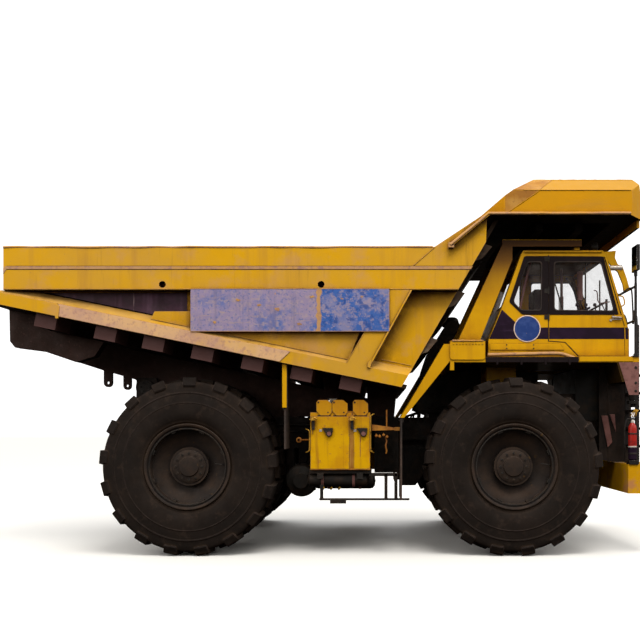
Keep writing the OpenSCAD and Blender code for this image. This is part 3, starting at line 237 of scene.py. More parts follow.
# each paint: its base tone, roughness from and to, other values by name; then its layers, each with its
# kind, tone, strength and the numbers that its mask takes
looks = {
    "cabYellow": ("yellow 0.36 0.55 shine 0.12 bump 0.05",
        "blotch #d29706 0.7 1.1 0.42 0.62; streak #b57a1c 0.45 5 0.52 0.75; "
        "blotch wornTan 0.5 16 0.66 0.74 3; crevice grime 0.8 0.16 0.55; edge #7a4a26 0.6 0.012 22 0.5; "
        "blotch #5a2f12 0.8 34 0.715 0.74 6; under soot 0.95; top #c9a055 0.6 0.35 0.6"),
    "tankYellow": ("#e6ae02 0.36 0.55 shine 0.12 bump 0.08",
        "blotch #cf8f0e 0.7 3.1 0.45 0.62; streak #9a5f1c 0.6 9 0.56 0.72; "
        "blotch #a8663a 0.6 14 0.62 0.7 3; crevice grime 0.9 0.3 0.6; height #b8781c 0.55 1.85 2.15; "
        "edge #8c6a6c 0.7 0.014 16 0.42; blotch #4a2a20 0.8 46 0.7 0.73 6; under soot 0.95"),
    # the fenders darken towards the front: painted shade
    "fenderYellow": ("yellow 0.4 0.6 shine 0.12 bump 0.06",
        "blotch #d29706 0.7 1.1 0.42 0.62; streak #b57a1c 0.45 5 0.52 0.75; crevice grime 0.8 0.3 0.6; "
        "behind soot 0.95 4.0 4.2; edge #7a4a26 0.6 0.012 22 0.5; under soot 0.95"),
    # the back of the bumper is darkened: painted shade
    "bumperYellow": ("yellow 0.4 0.6 shine 0.12 bump 0.08",
        "blotch #cf9208 0.7 1.4 0.42 0.62; blotch #c0805a 0.8 2.3 0.54 0.66 5; "
        "streak #a8661e 0.5 8 0.54 0.74; crevice grime 0.9 0.4 0.6; edge #8c5a44 0.7 0.014 18 0.42; "
        "blotch #4a2a20 0.7 36 0.68 0.72 6; behind #1d1210 0.95 4.62 4.52; under soot 0.95"),
    # the two height layers darken the guard upwards: painted shadow of the canopy
    "guardYellow": ("yellow 0.4 0.6 shine 0.12 bump 0.06",
        "blotch #cf920a 0.7 1.4 0.42 0.62; streak #b0701e 0.5 6 0.52 0.74; crevice grime 0.9 0.5 0.6; "
        "height #6e421e 0.85 3.75 4.45; height #2a170f 0.9 4.25 4.75; edge #8a5a30 0.6 0.014 18 0.46; "
        "under soot 0.95"),
    # the wide brown crevice layer is painted soft shade
    "bodyYellow": ("#e3a908 0.45 0.65 shine 0.12 bump 0.12 dent 0.12",
        "blotch #d3a03a 0.8 0.55 0.42 0.6; blotch wornTan 0.6 2.6 0.52 0.7 5; "
        "crevice #7a4818 0.7 1.1 0.75; streak #b57f3c 0.5 3.4 0.52 0.74; "
        "streak #6b4228 0.35 9 0.62 0.76; blotch #7b5560 0.5 24 0.68 0.74 9; "
        "crevice grime 0.95 0.35 0.6; edge wornTan 0.8 0.02 14 0.42; under soot 0.98; "
        "top #cfa35c 0.7 0.3 0.6; inside #75604c 0.9 2.396; insideWear #8f7a62 0.8 2.396 2.2 0.5 0.66; "
        "insideWear #5a3a26 0.8 2.396 0.9 0.5 0.68; insideWear #b98a30 0.7 2.396 3.6 0.64 0.7"),
    "canopyShade": ("#a87020 0.5 0.7 shine 0.2 bump 0.1",
        "streak #94602a 0.6 5 0.45 0.7; blotch #cb9a4a 0.6 2 0.5 0.66; blotch #7a4c26 0.6 14 0.6 0.7 4"),
    # its darker top faces, its undersides and its pocket are painted shade
    "canopyYellow": ("#d69602 0.45 0.65 shine 0.1 bump 0.08 dent 0.1",
        "blotch #c68f14 0.6 0.7 0.45 0.62; scrape #b98636 0.4 5 0.55 0.72; "
        "blotch wornTan 0.4 18 0.68 0.74 4; crevice grime 0.8 0.3 0.6; edge wornTan 0.6 0.015 16 0.46; "
        "under soot 1.0; top #b08430 0.8 0.1 0.4; pocket soot 1.0 2.27 5.64 3.18 4.72"),
    "bedSteel": ("#5d4c3e 0.45 0.75 bump 0.3 metal 0.35 dent 0.3",
        "scrape #8b7a66 0.7 4 0.5 0.66; blotch #6e4426 0.7 1.6 0.5 0.66; "
        "blotch #caa03a 0.5 3.1 0.66 0.7 8; crevice #2b1c12 0.8 0.4 0.6; under soot 0.9"),
    "plateBlue": ("#4c6cb4 0.55 0.75 shine 0.2 bump 0.2 dent 0.25",
        "blotch #a08fae 0.95 1.3 0.36 0.5 7; blotch #b09ca6 0.75 15 0.5 0.62; "
        "blotch #5a6ba6 0.7 26 0.55 0.63 1; scrape #b39a96 0.6 30 0.6 0.68; "
        "blotch #c8966a 0.95 3.1 0.66 0.675 2; streak #7c7496 0.5 14 0.5 0.66; "
        "edge #caa27a 0.9 0.02 9 0.4"),
    "plateDeep": ("#3f66b2 0.55 0.75 shine 0.2 bump 0.2 dent 0.25",
        "blotch #8f8cb2 0.85 3.2 0.44 0.6 3; blotch #a393a6 0.75 17 0.5 0.6; "
        "blotch #2b4f98 0.8 9 0.55 0.62 1; scrape #b39a96 0.5 34 0.62 0.68; "
        "blotch #c59a74 0.95 12 0.72 0.735 2; edge #caa27a 0.9 0.02 9 0.4"),
    "wornPink": ("#c79a6c 0.6 0.8 shine 0.1 bump 0.2",
        "blotch #d39a38 0.7 1.3 0.46 0.62; blotch #a07a72 0.75 9 0.5 0.66; "
        "streak #8b6a66 0.4 12 0.55 0.7; blotch #6c4a4c 0.7 30 0.66 0.72; under soot 0.9"),
    "wornStrip": ("#e6b988 0.6 0.8 shine 0.1 bump 0.2",
        "blotch #e3b04c 0.7 0.8 0.46 0.62; blotch #c79c8c 0.8 1.7 0.44 0.6 4; "
        "blotch #b5847a 0.6 19 0.52 0.66; blotch #8c6466 0.6 38 0.66 0.72 2; under soot 0.9"),
    "shadePurple": ("#43283a 0.5 0.7 bump 0.2",
        "streak #6d4f66 0.7 7 0.5 0.7; blotch #2a1a20 0.8 2.2 0.45 0.62; streak #b49aa0 0.6 18 0.66 0.72"),
    "chassisDark": ("#241b16 0.55 0.85 bump 0.35",
        "blotch #3b2a1f 0.7 2.1 0.45 0.65; blotch #1a1411 0.8 7 0.5 0.66; top #5b4433 0.6 0.35 0.6; "
        "edge #4b382b 0.6 0.01 18 0.5"),
    # the ribs' undersides are darkened: painted shade
    "ribBrown": ("#3a2720 0.6 0.85 bump 0.35",
        "blotch #4d3630 0.8 3.1 0.45 0.65; blotch #6a4a44 0.5 22 0.6 0.7; outside #6e4c4a 0.75 1.9; "
        "under #17100c 0.9; edge #5e4136 0.5 0.015 12 0.45"),
    "machineIron": ("#2b2724 0.4 0.75 bump 0.4 metal 0.3",
        "blotch #453427 0.7 4 0.48 0.66; blotch #141210 0.7 1.6 0.5 0.66; edge #6b5f54 0.5 0.01 20 0.5"),
    "grilleDark": ("#1b1917 0.5 0.75 bump 0.2",
        "blotch #4a3a2a 0.5 3 0.5 0.7; edge #5a5048 0.4 0.006 20 0.5"),
    "railBlack": ("#1d1918 0.35 0.55 bump 0.1",
        "blotch #3c3029 0.6 9 0.5 0.66; edge #66574c 0.5 0.006 30 0.5"),
    "tyreRubber": ("#1c1511 0.75 0.95 shine 0.2 bump 0.4 grain 90",
        "blotch #2a201a 0.6 2.3 0.42 0.66; blotch #3a2d25 0.5 8 0.55 0.7; crevice #45362a 0.7 0.08 0.4; "
        "edge #4a3d3c 0.6 0.012 14 0.45"),
    "rimDark": ("#261c16 0.55 0.8 bump 0.2",
        "blotch #3d2c20 0.8 2.6 0.42 0.62; blotch #6b4c1a 0.45 9 0.64 0.7; "
        "crevice #191210 0.95 0.14 0.5; edge #66533f 0.6 0.01 14 0.45"),
    "flapGrey": ("#3b3431 0.75 0.92 shine 0.2 bump 0.3",
        "blotch #5c4a42 0.7 4 0.45 0.66; streak #211b19 0.6 8 0.5 0.7; height #6b564a 0.4 1.9 1.1"),
    "hoistSteel": ("#b5b0a6 0.16 0.3 bump 0.04 metal 0.95",
        "blotch #8c8274 0.6 6 0.5 0.7"),
    "strutSteel": ("#4a4138 0.35 0.6 bump 0.2 metal 0.5",
        "blotch #2a211b 0.8 4 0.45 0.62; streak #6e5a44 0.5 10 0.55 0.7"),
    "sealBlack": ("#1a1113 0.5 0.7 shine 0.12 bump 0.08",
        "blotch #261a1c 0.6 8 0.5 0.68; streak #33262a 0.35 16 0.6 0.72"),
    "stripeDark": ("#201122 0.38 0.55 shine 0.12 bump 0.05",
        "blotch #2e1b32 0.7 2.4 0.48 0.62; scrape #4a3652 0.35 12 0.6 0.7"),
    "discBlue": ("#1f3d80 0.35 0.5 bump 0.06",
        "blotch #3a5494 0.6 9 0.48 0.6; scrape #7d8fb9 0.5 42 0.66 0.7; blotch #c9a64e 0.9 16 0.735 0.745"),
    "discRim": ("#ecd3c0 0.4 0.6 bump 0.06",
        "blotch #c9a894 0.6 20 0.5 0.66"),
    "redPaint": ("#a81f16 0.25 0.45 bump 0.04",
        "blotch #6b1510 0.6 12 0.5 0.66; streak #4a2418 0.4 14 0.6 0.72"),
    "brass": ("#d8a640 0.3 0.5 bump 0.06 metal 0.8",
        "blotch #5e421d 0.7 20 0.48 0.64"),
    "rustOrange": ("#a86a24 0.55 0.75 bump 0.2",
        "blotch #6d3f1c 0.8 6 0.45 0.62; blotch #c98d2c 0.6 3 0.5 0.66 2"),
    "paleSteel": ("#c9c0b6 0.3 0.5 bump 0.05 metal 0.4",
        "blotch #8f7f74 0.6 12 0.5 0.66"),
    "seatCloth": ("#2c2a30 0.85 0.97 shine 0.2 bump 0.6 grain 320",
        "blotch #3d3940 0.6 5 0.45 0.62; blotch #1b191d 0.6 60 0.5 0.6"),
    "cabPlastic": ("#3a2f36 0.5 0.7 bump 0.15 grain 160",
        "blotch #4c3f46 0.6 4 0.45 0.62; crevice #1c1518 0.7 0.1 0.5"),
    "padBrown": ("#8a5e58 0.6 0.8 bump 0.2",
        "blotch #6a443f 0.7 9 0.45 0.62; edge #b08a80 0.6 0.006 12 0.4"),
}
paints = {name: layered(name, *look) for name, look in looks.items()}
paints["cabYellow"].node_tree.nodes["Principled BSDF"].inputs["Coat Weight"].default_value = 0.08


def clearMaterial(name, code, alpha, rough):
    material, tree, shader = newMaterial(name)
    dust = noiseMask(tree, 3, 0.4, 0.75)
    tree.links.new(mixTint(tree, dust, tint(code), tint("#8f8682")), shader.inputs["Base Color"])
    tree.links.new(rangeOf(tree, dust, alpha, alpha + 0.07), shader.inputs["Alpha"])
    shader.inputs["Roughness"].default_value = rough
    shader.inputs["Specular IOR Level"].default_value = 0.7
    return material


paints["glassPane"] = clearMaterial("glassPane", "#241a22", 0.1, 0.04)
paints["lampLens"] = clearMaterial("lampLens", "#dcd8cc", 0.75, 0.12)


def mirrorMaterial():
    material, tree, shader = newMaterial("mirrorFace")
    shader.inputs["Base Color"].default_value = tint("#b9bcc0")
    shader.inputs["Metallic"].default_value = 1
    tree.links.new(rangeOf(tree, noiseMask(tree, 7, 0.45, 0.75), 0.03, 0.3), shader.inputs["Roughness"])
    return material


paints["mirrorFace"] = mirrorMaterial()
print("materials made,", len(paints))

# what each CAD node wears
nodePaint = {
    "bumperYellow": "bumper", "fenderYellow": "fenders", "tankYellow": "valve_tank", "guardYellow": "rops",
    "cabYellow": "deck cab_shell cab_door fuel_tank air_cleaners", "bodyYellow": "body_sides upper_rails",
    "canopyYellow": "canopy", "bedSteel": "body_floor body_front", "plateBlue": "side_plates",
    "chassisDark": "frame rear_axle tie_rod knuckle_right knuckle_left", "ribBrown": "body_rails",
    "machineIron": "engine powertrain hoist_barrels_right hoist_barrels_left", "grilleDark": "grille",
    "railBlack": "handrails ladders", "flapGrey": "mud_flaps rock_flaps", "strutSteel": "struts",
    "hoistSteel": "hoist_stage_right hoist_stage_left hoist_rod_right hoist_rod_left",
    "glassPane": "cab_glass door_glass", "lampLens": "lamps", "cabPlastic": "cab_interior",
    "rimDark": "rim_front_right rim_front_left rims_rear_right rims_rear_left",
    "tyreRubber": "tyre_front_right tyre_front_left tyres_rear_right tyres_rear_left",
}
for paintName, names in nodePaint.items():
    for nodeName in names.split():
        slots = nodes[nodeName].data.materials
        slots.clear()
        slots.append(paints[paintName])
print("frame painted")


# mesh helpers

def facesOf(verts):
    return {face for vert in verts for face in vert.link_faces}


def colourFaces(verts, paint):
    for face in facesOf(verts):
        face.material_index = paint


def addBlock(mesh, low, high, paint=0, turn=None):
    verts = bmesh.ops.create_cube(mesh, size=1)["verts"]
    low, high = Vector(low), Vector(high)
    for vert in verts:
        vert.co = Vector((low[i] + high[i]) / 2 + vert.co[i] * (high[i] - low[i]) for i in range(3))
    if turn:
        bmesh.ops.transform(mesh, matrix=turn, verts=verts)
    colourFaces(verts, paint)
    return verts


def addPlate(mesh, outline, y0, y1, paint=0):  # an outline in X and Z, carried along Y
    near = [mesh.verts.new((x, y0, z)) for x, z in outline]
    far = [mesh.verts.new((x, y1, z)) for x, z in outline]
    made = [mesh.faces.new(near), mesh.faces.new(far[::-1])]
    for i, vert in enumerate(near):
        j = (i + 1) % len(near)
        made.append(mesh.faces.new((vert, far[i], far[j], near[j])))
    for face in made:
        face.material_index = paint
    return near + far


def addSheet(mesh, corners, shift, paint=0):   # a thin slab from four corners and the way through it
    near = [mesh.verts.new(corner) for corner in corners]
    far = [mesh.verts.new(Vector(corner) + Vector(shift)) for corner in corners]
    made = [mesh.faces.new(near), mesh.faces.new(far[::-1])]
    made += [mesh.faces.new((near[i - 1], near[i], far[i], far[i - 1])) for i in range(len(near))]
    for face in made:
        face.material_index = paint


def rounded(outline, radius, steps=4):         # an outline with its corners rounded
    result = []
    count = len(outline)
    for i, corner in enumerate(outline):
        here = Vector(corner)
        before, after = Vector(outline[i - 1]) - here, Vector(outline[(i + 1) % count]) - here
        a, c = here + before.normalized() * radius, here + after.normalized() * radius
        for k in range(steps + 1):
            s = k / steps
            result.append(tuple(a * (1 - s) ** 2 + here * 2 * s * (1 - s) + c * s * s))
    return result


def addRing(mesh, outer, inner, y0, y1, paint=0):   # a flat frame between two outlines of as many points
    count = len(outer)
    rows = [[mesh.verts.new((x, y, z)) for x, z in line] for y in (y0, y1) for line in (outer, inner)]
    for i in range(count):
        j = (i + 1) % count
        for a, b in ((0, 1), (1, 3), (3, 2), (2, 0)):
            mesh.faces.new((rows[a][i], rows[a][j], rows[b][j], rows[b][i])).material_index = paint


def addRod(mesh, start, end, radius, sides=16, endRadius=None, paint=0):
    start, end = Vector(start), Vector(end)
    along = end - start
    place = Matrix.Translation((start + end) / 2) @ along.to_track_quat("Z", "Y").to_matrix().to_4x4()
    verts = bmesh.ops.create_cone(mesh, cap_ends=True, segments=sides, radius1=radius,
                                  radius2=radius if endRadius is None else endRadius, depth=along.length,
                                  matrix=place)["verts"]
    colourFaces(verts, paint)
    return verts


def spotAt(x, y, z, axis="Z", turn=90):        # a place whose local Z is turned about an axis
    place = Matrix.Translation((x, y, z))
    return place if axis == "Z" else place @ Matrix.Rotation(math.radians(turn), 4, axis)


def addLathe(mesh, profile, place, steps=48, paint=0):   # (radius, along) pairs turned about local Z
    rings = []
    for k in range(steps):
        angle = 2 * math.pi * k / steps
        rings.append([mesh.verts.new(place @ Vector((r * math.cos(angle), r * math.sin(angle), a)))
                      for r, a in profile])
    for k in range(steps):
        here, there = rings[k], rings[(k + 1) % steps]
        for i in range(len(profile) - 1):
            mesh.faces.new((here[i], there[i], there[i + 1], here[i + 1])).material_index = paint
    return rings


def smoothPath(points, steps=6):               # a curve through the points
    points = [Vector(p) for p in points]
    ends = [2 * points[0] - points[1]] + points + [2 * points[-1] - points[-2]]
    path = []
    for i in range(1, len(ends) - 2):
        a, b, c, d = ends[i - 1:i + 3]
        for k in range(steps):
            t = k / steps
            path.append(((2 * b) + (c - a) * t + (2 * a - 5 * b + 4 * c - d) * t * t
                         + (3 * b - a - 3 * c + d) * t ** 3) / 2)
    return path + [points[-1]]


def addTube(mesh, path, radius, sides=10, paint=0, wobble=0):
    path = [Vector(p) for p in path]
    rings = []
    side = None
    for i, point in enumerate(path):
        ahead = (path[min(i + 1, len(path) - 1)] - path[max(i - 1, 0)]).normalized()
        if side is None:
            side = ahead.orthogonal().normalized()
        side = (side - ahead * side.dot(ahead)).normalized()
        other = ahead.cross(side)
        r = radius * (1 + random.uniform(-wobble, wobble))
        rings.append([mesh.verts.new(point + r * (side * math.cos(2 * math.pi * k / sides)
                                                  + other * math.sin(2 * math.pi * k / sides)))
                      for k in range(sides)])
    for here, there in zip(rings, rings[1:]):
        for k in range(sides):
            j = (k + 1) % sides
            mesh.faces.new((here[k], here[j], there[j], there[k])).material_index = paint
    mesh.faces.new(rings[0][::-1]).material_index = paint
    mesh.faces.new(rings[-1]).material_index = paint


def addBolt(mesh, at, direction, size, paint=0):
    at, direction = Vector(at), Vector(direction).normalized()
    addRod(mesh, at, at + direction * size * 0.18, size * 0.75, 12, paint=paint)
    addRod(mesh, at + direction * size * 0.15, at + direction * size * 0.62, size * 0.5, 6, paint=paint)


def addBolts(mesh, start, end, count, direction, size, paint=0):
    start, end = Vector(start), Vector(end)
    for i in range(count):
        addBolt(mesh, start.lerp(end, i / max(count - 1, 1)), direction, size, paint)


def addBoltCircle(mesh, place, radius, count, direction, size, paint=0):    # about the place's local Z
    for k in range(count):
        angle = 2 * math.pi * k / count
        addBolt(mesh, place @ Vector((radius * math.cos(angle), radius * math.sin(angle), 0)), direction,
                size, paint)


def addHose(mesh, points, steps, radius, sides=8, paint=0):     # a tube along a curve through the points
    addTube(mesh, smoothPath(points, steps), radius, sides, paint)


def addWeld(mesh, start, end, radius, paint=0):    # a bead with ripples
    start, end = Vector(start), Vector(end)
    count = max(2, min(160, int((end - start).length / 0.05)))
    addTube(mesh, [start.lerp(end, i / count) for i in range(count + 1)], radius, 6, paint, wobble=0.22)


def makePiece(name, mesh, body, paintNames, bevel=0, replaces=()):
    bmesh.ops.recalc_face_normals(mesh, faces=mesh.faces)
    for edge in mesh.edges:
        edge.smooth = len(edge.link_faces) == 2 and edge.calc_face_angle(0) < math.radians(35)
    for face in mesh.faces:
        face.smooth = True
    data = bpy.data.meshes.new(name)
    mesh.to_mesh(data)
    mesh.free()
    piece = bpy.data.objects.new(name, data)
    bpy.context.scene.collection.objects.link(piece)
    for paintName in paintNames.split():
        data.materials.append(paints[paintName])
    if bevel:
        rounding = piece.modifiers.new("edges", "BEVEL")
        rounding.width, rounding.segments = bevel, 2
        rounding.limit_method, rounding.angle_limit = "ANGLE", math.radians(40)
        rounding.harden_normals = False
    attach(piece, body)
    if replaces:
        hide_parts(*replaces)
    return piece


# dump body, outside

seams = {"low": 4.267, "high": 4.311, "front": 2.25, "out": 0.006}


def bodySeams():
    strip, lines, beads = bmesh.new(), bmesh.new(), bmesh.new()
    z0, z1 = seams["low"], seams["high"]
    for side in bothSides:
        y0, y1 = side * railFace, side * (railFace + seams["out"])
        tail = bodyTail + 0.05
        addPlate(strip, [(tail, z0), (seams["front"] - 0.026, z0), (seams["front"], z1), (tail - 0.02, z1)],
                 y0, y1)
        addPlate(strip, [(tail, z0), (tail - 0.02, z1), (bodyTail, z1 - 0.035), (bodyTail, z0 - 0.07)], y0,
                 y1)
        for z in (z0 - 0.006, z1):             # dark lines along the strip's edges: painted shadow
            addBlock(lines, (tail, side * (railFace - 0.002), z),
                     (seams["front"], side * (railFace + 0.0025), z + 0.006))
        ends = [((1.364, z1), (1.688, railTop - 0.01)),      # foot of the canopy's side plate
                ((frontX(railLow), railLow + 0.012), (bodyTail, railLow + 0.012))]
        for (x0, za), (x1, zb) in ends:
            addWeld(beads, (x0, side * (railFace + 0.001), za), (x1, side * (railFace + 0.001), zb), 0.007)
        for x0, x1, rise in ((-2.5, -0.35, 0.34), (-0.2, 0.5, 0.36), (0.9, 1.35, 0.36)):
            addWeld(beads, (x0, side * wallFace, floorZ(x0) + rise),
                    (x1, side * wallFace, floorZ(x1) + rise), 0.007)
    makePiece("rail_strip", strip, "dump_body", "wornPink", 0.002)
    makePiece("rail_strip_shadows", lines, "dump_body", "sealBlack")
    makePiece("side_welds", beads, "dump_body", "bodyYellow")


topEdge = {"front": 1.66, "radius": 0.02, "dent": 0.004, "step": 0.22}


def railEdges():                               # the rolled, scraped top edge of each side
    mesh = bmesh.new()
    for side in bothSides:
        y = side * (railFace - 0.012)
        long = topEdge["front"] - bodyTail
        count = int(long / topEdge["step"])
        path = [(bodyTail + long * i / count, y + random.uniform(-1, 1) * topEdge["dent"],
                 railTop - 0.006 + random.uniform(-1, 1) * topEdge["dent"]) for i in range(count + 1)]
        addHose(mesh, path, 3, topEdge["radius"], 10)
    makePiece("top_edges", mesh, "dump_body", "wornPink")


wear = {"start": -3.853, "end": -0.6, "high": 0.188, "thick": 0.009, "tailThick": 0.02, "drop": 0.03}


def wearPlates():                              # bare strip and tail plate on the sloping rail
    strip, tailPlates = bmesh.new(), bmesh.new()
    for side in bothSides:
        y0 = side * railFace
        x0, x1, high = wear["start"], wear["end"], wear["high"]
        addPlate(strip, [(x0, floorZ(x0) + 0.003), (x1, floorZ(x1) + 0.003),
                         (x1 + 0.16, floorZ(x1 + 0.16) + high), (x0, floorZ(x0) + high)], y0,
                 side * (railFace + wear["thick"]))
        t0 = cadLow.x + 0.004
        addPlate(tailPlates, [(t0, floorZ(t0) - 0.002), (x0 - 0.05, floorZ(x0 - 0.05) - 0.002),
                              (x0 - 0.045, floorZ(x0) - wear["drop"]), (x0, floorZ(x0) - wear["drop"]),
                              (x0 + 0.02, floorZ(x0) + high * 0.8), (x0 - 0.03, floorZ(x0 - 0.03) + high),
                              (t0, floorZ(t0) + high)], y0, side * (railFace + wear["tailThick"]))
    makePiece("wear_strips", strip, "dump_body", "wornStrip", 0.003)
    makePiece("tail_plates", tailPlates, "dump_body", "bodyYellow", 0.005)


brace = {"foot": 0.39, "wide": 0.34, "flange": 0.024, "out": 0.02}


def braceFlanges():                            # edges of the slanting braces beside the blue plates
    mesh = bmesh.new()
    x0 = brace["foot"]
    z0 = floorZ(x0) + 0.19
    lean = (railLow - z0) / math.tan(frontSlope)
    for side in bothSides:
        y0, y1 = side * (railFace - 0.002), side * (railFace + brace["out"])
        a, b = x0 + brace["wide"], x0 + brace["wide"] + lean
        addPlate(mesh, [(a - brace["flange"], z0 - 0.058), (a, z0 - 0.07), (b, railLow - 0.002),
                        (b - brace["flange"], railLow - 0.002)], y0, y1)
        addPlate(mesh, [(a - 0.035, z0 - 0.062), (a + 0.012, z0 - 0.08), (a + 0.03, z0 + 0.05),
                        (a - 0.02, z0 + 0.01)], y0, side * (railFace + brace["out"] + 0.008))
        addWeld(mesh, (x0, side * (railFace + 0.001), z0), (x0 + lean, side * (railFace + 0.001), railLow),
                0.006)
    makePiece("brace_flanges", mesh, "dump_body", "bodyYellow", 0.004)


liner = {"back": -4.62, "knee": -4.1, "front": -2.0, "low": 0.33, "thick": 0.006}


def recessShadeLiners():                            # plates in the recess behind the blue one: dark worn paint with painted shade
    mesh = bmesh.new()
    for side in bothSides:
        x0, knee, x1 = liner["back"], liner["knee"], liner["front"]
        addPlate(mesh, [(x0, railLow - 0.02), (x1, railLow - 0.02), (x1, floorZ(x1) + liner["low"]),
                        (knee, floorZ(knee) + liner["low"])], side * (wallFace - 0.001),
                 side * (wallFace + liner["thick"]))
    makePiece("recess_shade_liners", mesh, "dump_body", "shadePurple", 0.002)


def plateDetails():                            # the blue plates: a bare seam and a burnt edge
    mesh, deep = bmesh.new(), bmesh.new()
    low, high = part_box("side_plates")
    seamX = 0.0
    for side in bothSides:
        y = side * high.y
        ragged = [(seamX + random.uniform(0.0, 0.034), high.z - (high.z - low.z) * i / 11)
                  for i in range(12)]
        addPlate(deep, ragged + [(high.x - 0.006, low.z + 0.004), (high.x - 0.004, high.z - 0.01)], y,
                 side * (high.y + 0.0022))
        left = [(seamX - 0.04 - random.uniform(0, 0.03) * (i % 2), high.z - (high.z - low.z) * i / 11)
                for i in range(12)]
        addPlate(mesh, [(x + 0.002, z) for x, z in ragged] + left[::-1], y, side * (high.y + 0.0012))
        for spotX, spotZ, size in ((-1.2, 0.17, 0.05), (-0.9, 0.24, 0.04), (-0.62, 0.3, 0.06),
                                   (-0.11, 0.12, 0.05), (-0.3, 0.52, 0.045), (0.32, 0.15, 0.03),
                                   (0.62, 0.12, 0.035), (-1.55, 0.5, 0.04)):
            chip = []
            for k in range(9):
                a = 2 * math.pi * k / 9
                r = size * random.uniform(0.35, 1)
                chip.append((spotX + r * math.cos(a), high.z - spotZ + 0.6 * r * math.sin(a)))
            addPlate(mesh, chip, y, side * (high.y + 0.0034))
        addWeld(mesh, (low.x, side * high.y, high.z - 0.004), (high.x, side * high.y, high.z - 0.004),
                0.005)
        addBlock(mesh, (low.x, side * (high.y - 0.004), low.z),
                 (high.x, side * (high.y + 0.003), low.z + 0.006))
    makePiece("plate_seams", mesh, "dump_body", "wornPink")
    makePiece("plate_fronts", deep, "dump_body", "plateDeep")


# canopy over the cab

lip = {"radius": 0.024, "y": 2.69, "rise": [(1.915, 4.607), (2.47, 5.062)], "z": 5.066, "corner": 4.55,
       "boxLow": 5.092, "boxHigh": 5.417, "boxY": 2.662}


def raggedLine(start, end, count, y):          # points after start, up to end, each a little off the line
    (x0, z0), (x1, z1) = start, end
    return [(x0 + (x1 - x0) * i / count, y, z0 + (z1 - z0) * i / count + random.uniform(-0.003, 0.003))
            for i in range(1, count + 1)]


def canopyEdges():                             # rolled lip, seams and the shaded slope
    mesh, welds, shadeSheets = bmesh.new(), bmesh.new(), bmesh.new()
    foot, knee = lip["rise"]
    boxLow, boxHigh, shelf = lip["boxLow"], lip["boxHigh"], lip["boxY"]
    for side in bothSides:
        y = side * lip["y"]
        path = [(foot[0], y, foot[1])] + raggedLine(foot, knee, 8, y)
        path += raggedLine((knee[0], lip["z"]), (lip["corner"], lip["z"]), 11, y)
        addTube(mesh, path, lip["radius"], 10)
        addBlock(mesh, (1.885, side * (railFace + 0.002), 4.57), (1.965, side * 2.70, 4.645))
        for x0, z0, x1, z1, radius in ((2.52, boxLow, 4.52, boxLow, 0.009),
                                       (2.995, boxHigh, 4.56, boxHigh, 0.007),
                                       (2.76, 5.09, 3.23, 5.414, 0.006)):
            addWeld(welds, (x0, side * shelf, z0), (x1, side * shelf, z1), radius)
        # plates painted in shade on the slope's face and the top strip's corner
        addPlate(shadeSheets, [(2.722, 5.098), (2.77, 5.098), (3.225, 5.411), (2.828, 5.411), (2.722, 5.338)],
                 side * (shelf - 0.004), side * (shelf + 0.001))
        addSheet(shadeSheets, [(2.832, side * 2.658, 5.42), (3.225, side * 2.658, 5.42),
                          (3.49, side * 2.285, 5.678), (3.2, side * 2.285, 5.678)],
                 (0, side * 0.0023, 0.0033))
        addWeld(welds, (3.2, side * 2.28, 5.68), (4.7, side * 2.28, 5.68), 0.007)
    for y in (-1.7, -0.85, 0, 0.85, 1.7):      # stiffeners pressed into the top
        addBlock(welds, (3.25, y - 0.05, 5.672), (4.66, y + 0.05, 5.692))
    makePiece("canopy_slope_shade", shadeSheets, "dump_body", "canopyShade")
    makePiece("canopy_lip", mesh, "dump_body", "wornPink")
    makePiece("canopy_seams", welds, "dump_body", "canopyYellow", 0.003)


# body, inside and below

bed = {"plates": 5, "rows": 3, "half": 2.3, "thick": 0.012, "gap": 0.03}


def bedLiners():                               # wear plates over the floor and the front wall
    mesh = bmesh.new()
    onFloor = spotAt(footX, 0, floorLow) @ Matrix.Rotation(floorSlope, 4, "Y")
    long = (footX - cadLow.x) / math.cos(floorSlope) - 0.1
    step, wide, gap = long / bed["rows"], 2 * bed["half"] / bed["plates"], bed["gap"]
    for row in range(bed["rows"]):
        for i in range(bed["plates"]):
            x0, y0 = -long + row * step + gap, -bed["half"] + i * wide + gap / 2
            addBlock(mesh, (x0, y0, 0.058), (x0 + step - gap, y0 + wide - gap, 0.06 + bed["thick"]),
                     turn=onFloor)
    makePiece("bed_liners", mesh, "dump_body", "bedSteel", 0.003)


hinge = {"x": -3.1, "z": 2.62, "cap": (0.728, 0.748), "radius": 0.12, "bolts": 0.08}


def underBody():                               # rubber strips on the frame and caps on the hinge's pins
    pads, caps = bmesh.new(), bmesh.new()
    inner, outer = hinge["cap"]
    for side in bothSides:
        for i in range(7):
            x = -2.55 + i * 0.55
            addBlock(pads, (x, side * 0.44, 2.1), (x + 0.4, side * 0.64, 2.1235))
        addRod(caps, (hinge["x"], side * inner, hinge["z"]), (hinge["x"], side * outer, hinge["z"]),
               hinge["radius"], 32)
        addBoltCircle(caps, spotAt(hinge["x"], side * outer, hinge["z"], "X"), hinge["bolts"], 6,
                      (0, side, 0), 0.026)
    makePiece("frame_pads", pads, "chassis", "flapGrey", 0.004)
    makePiece("hinge_caps", caps, "chassis", "machineIron", 0.002)


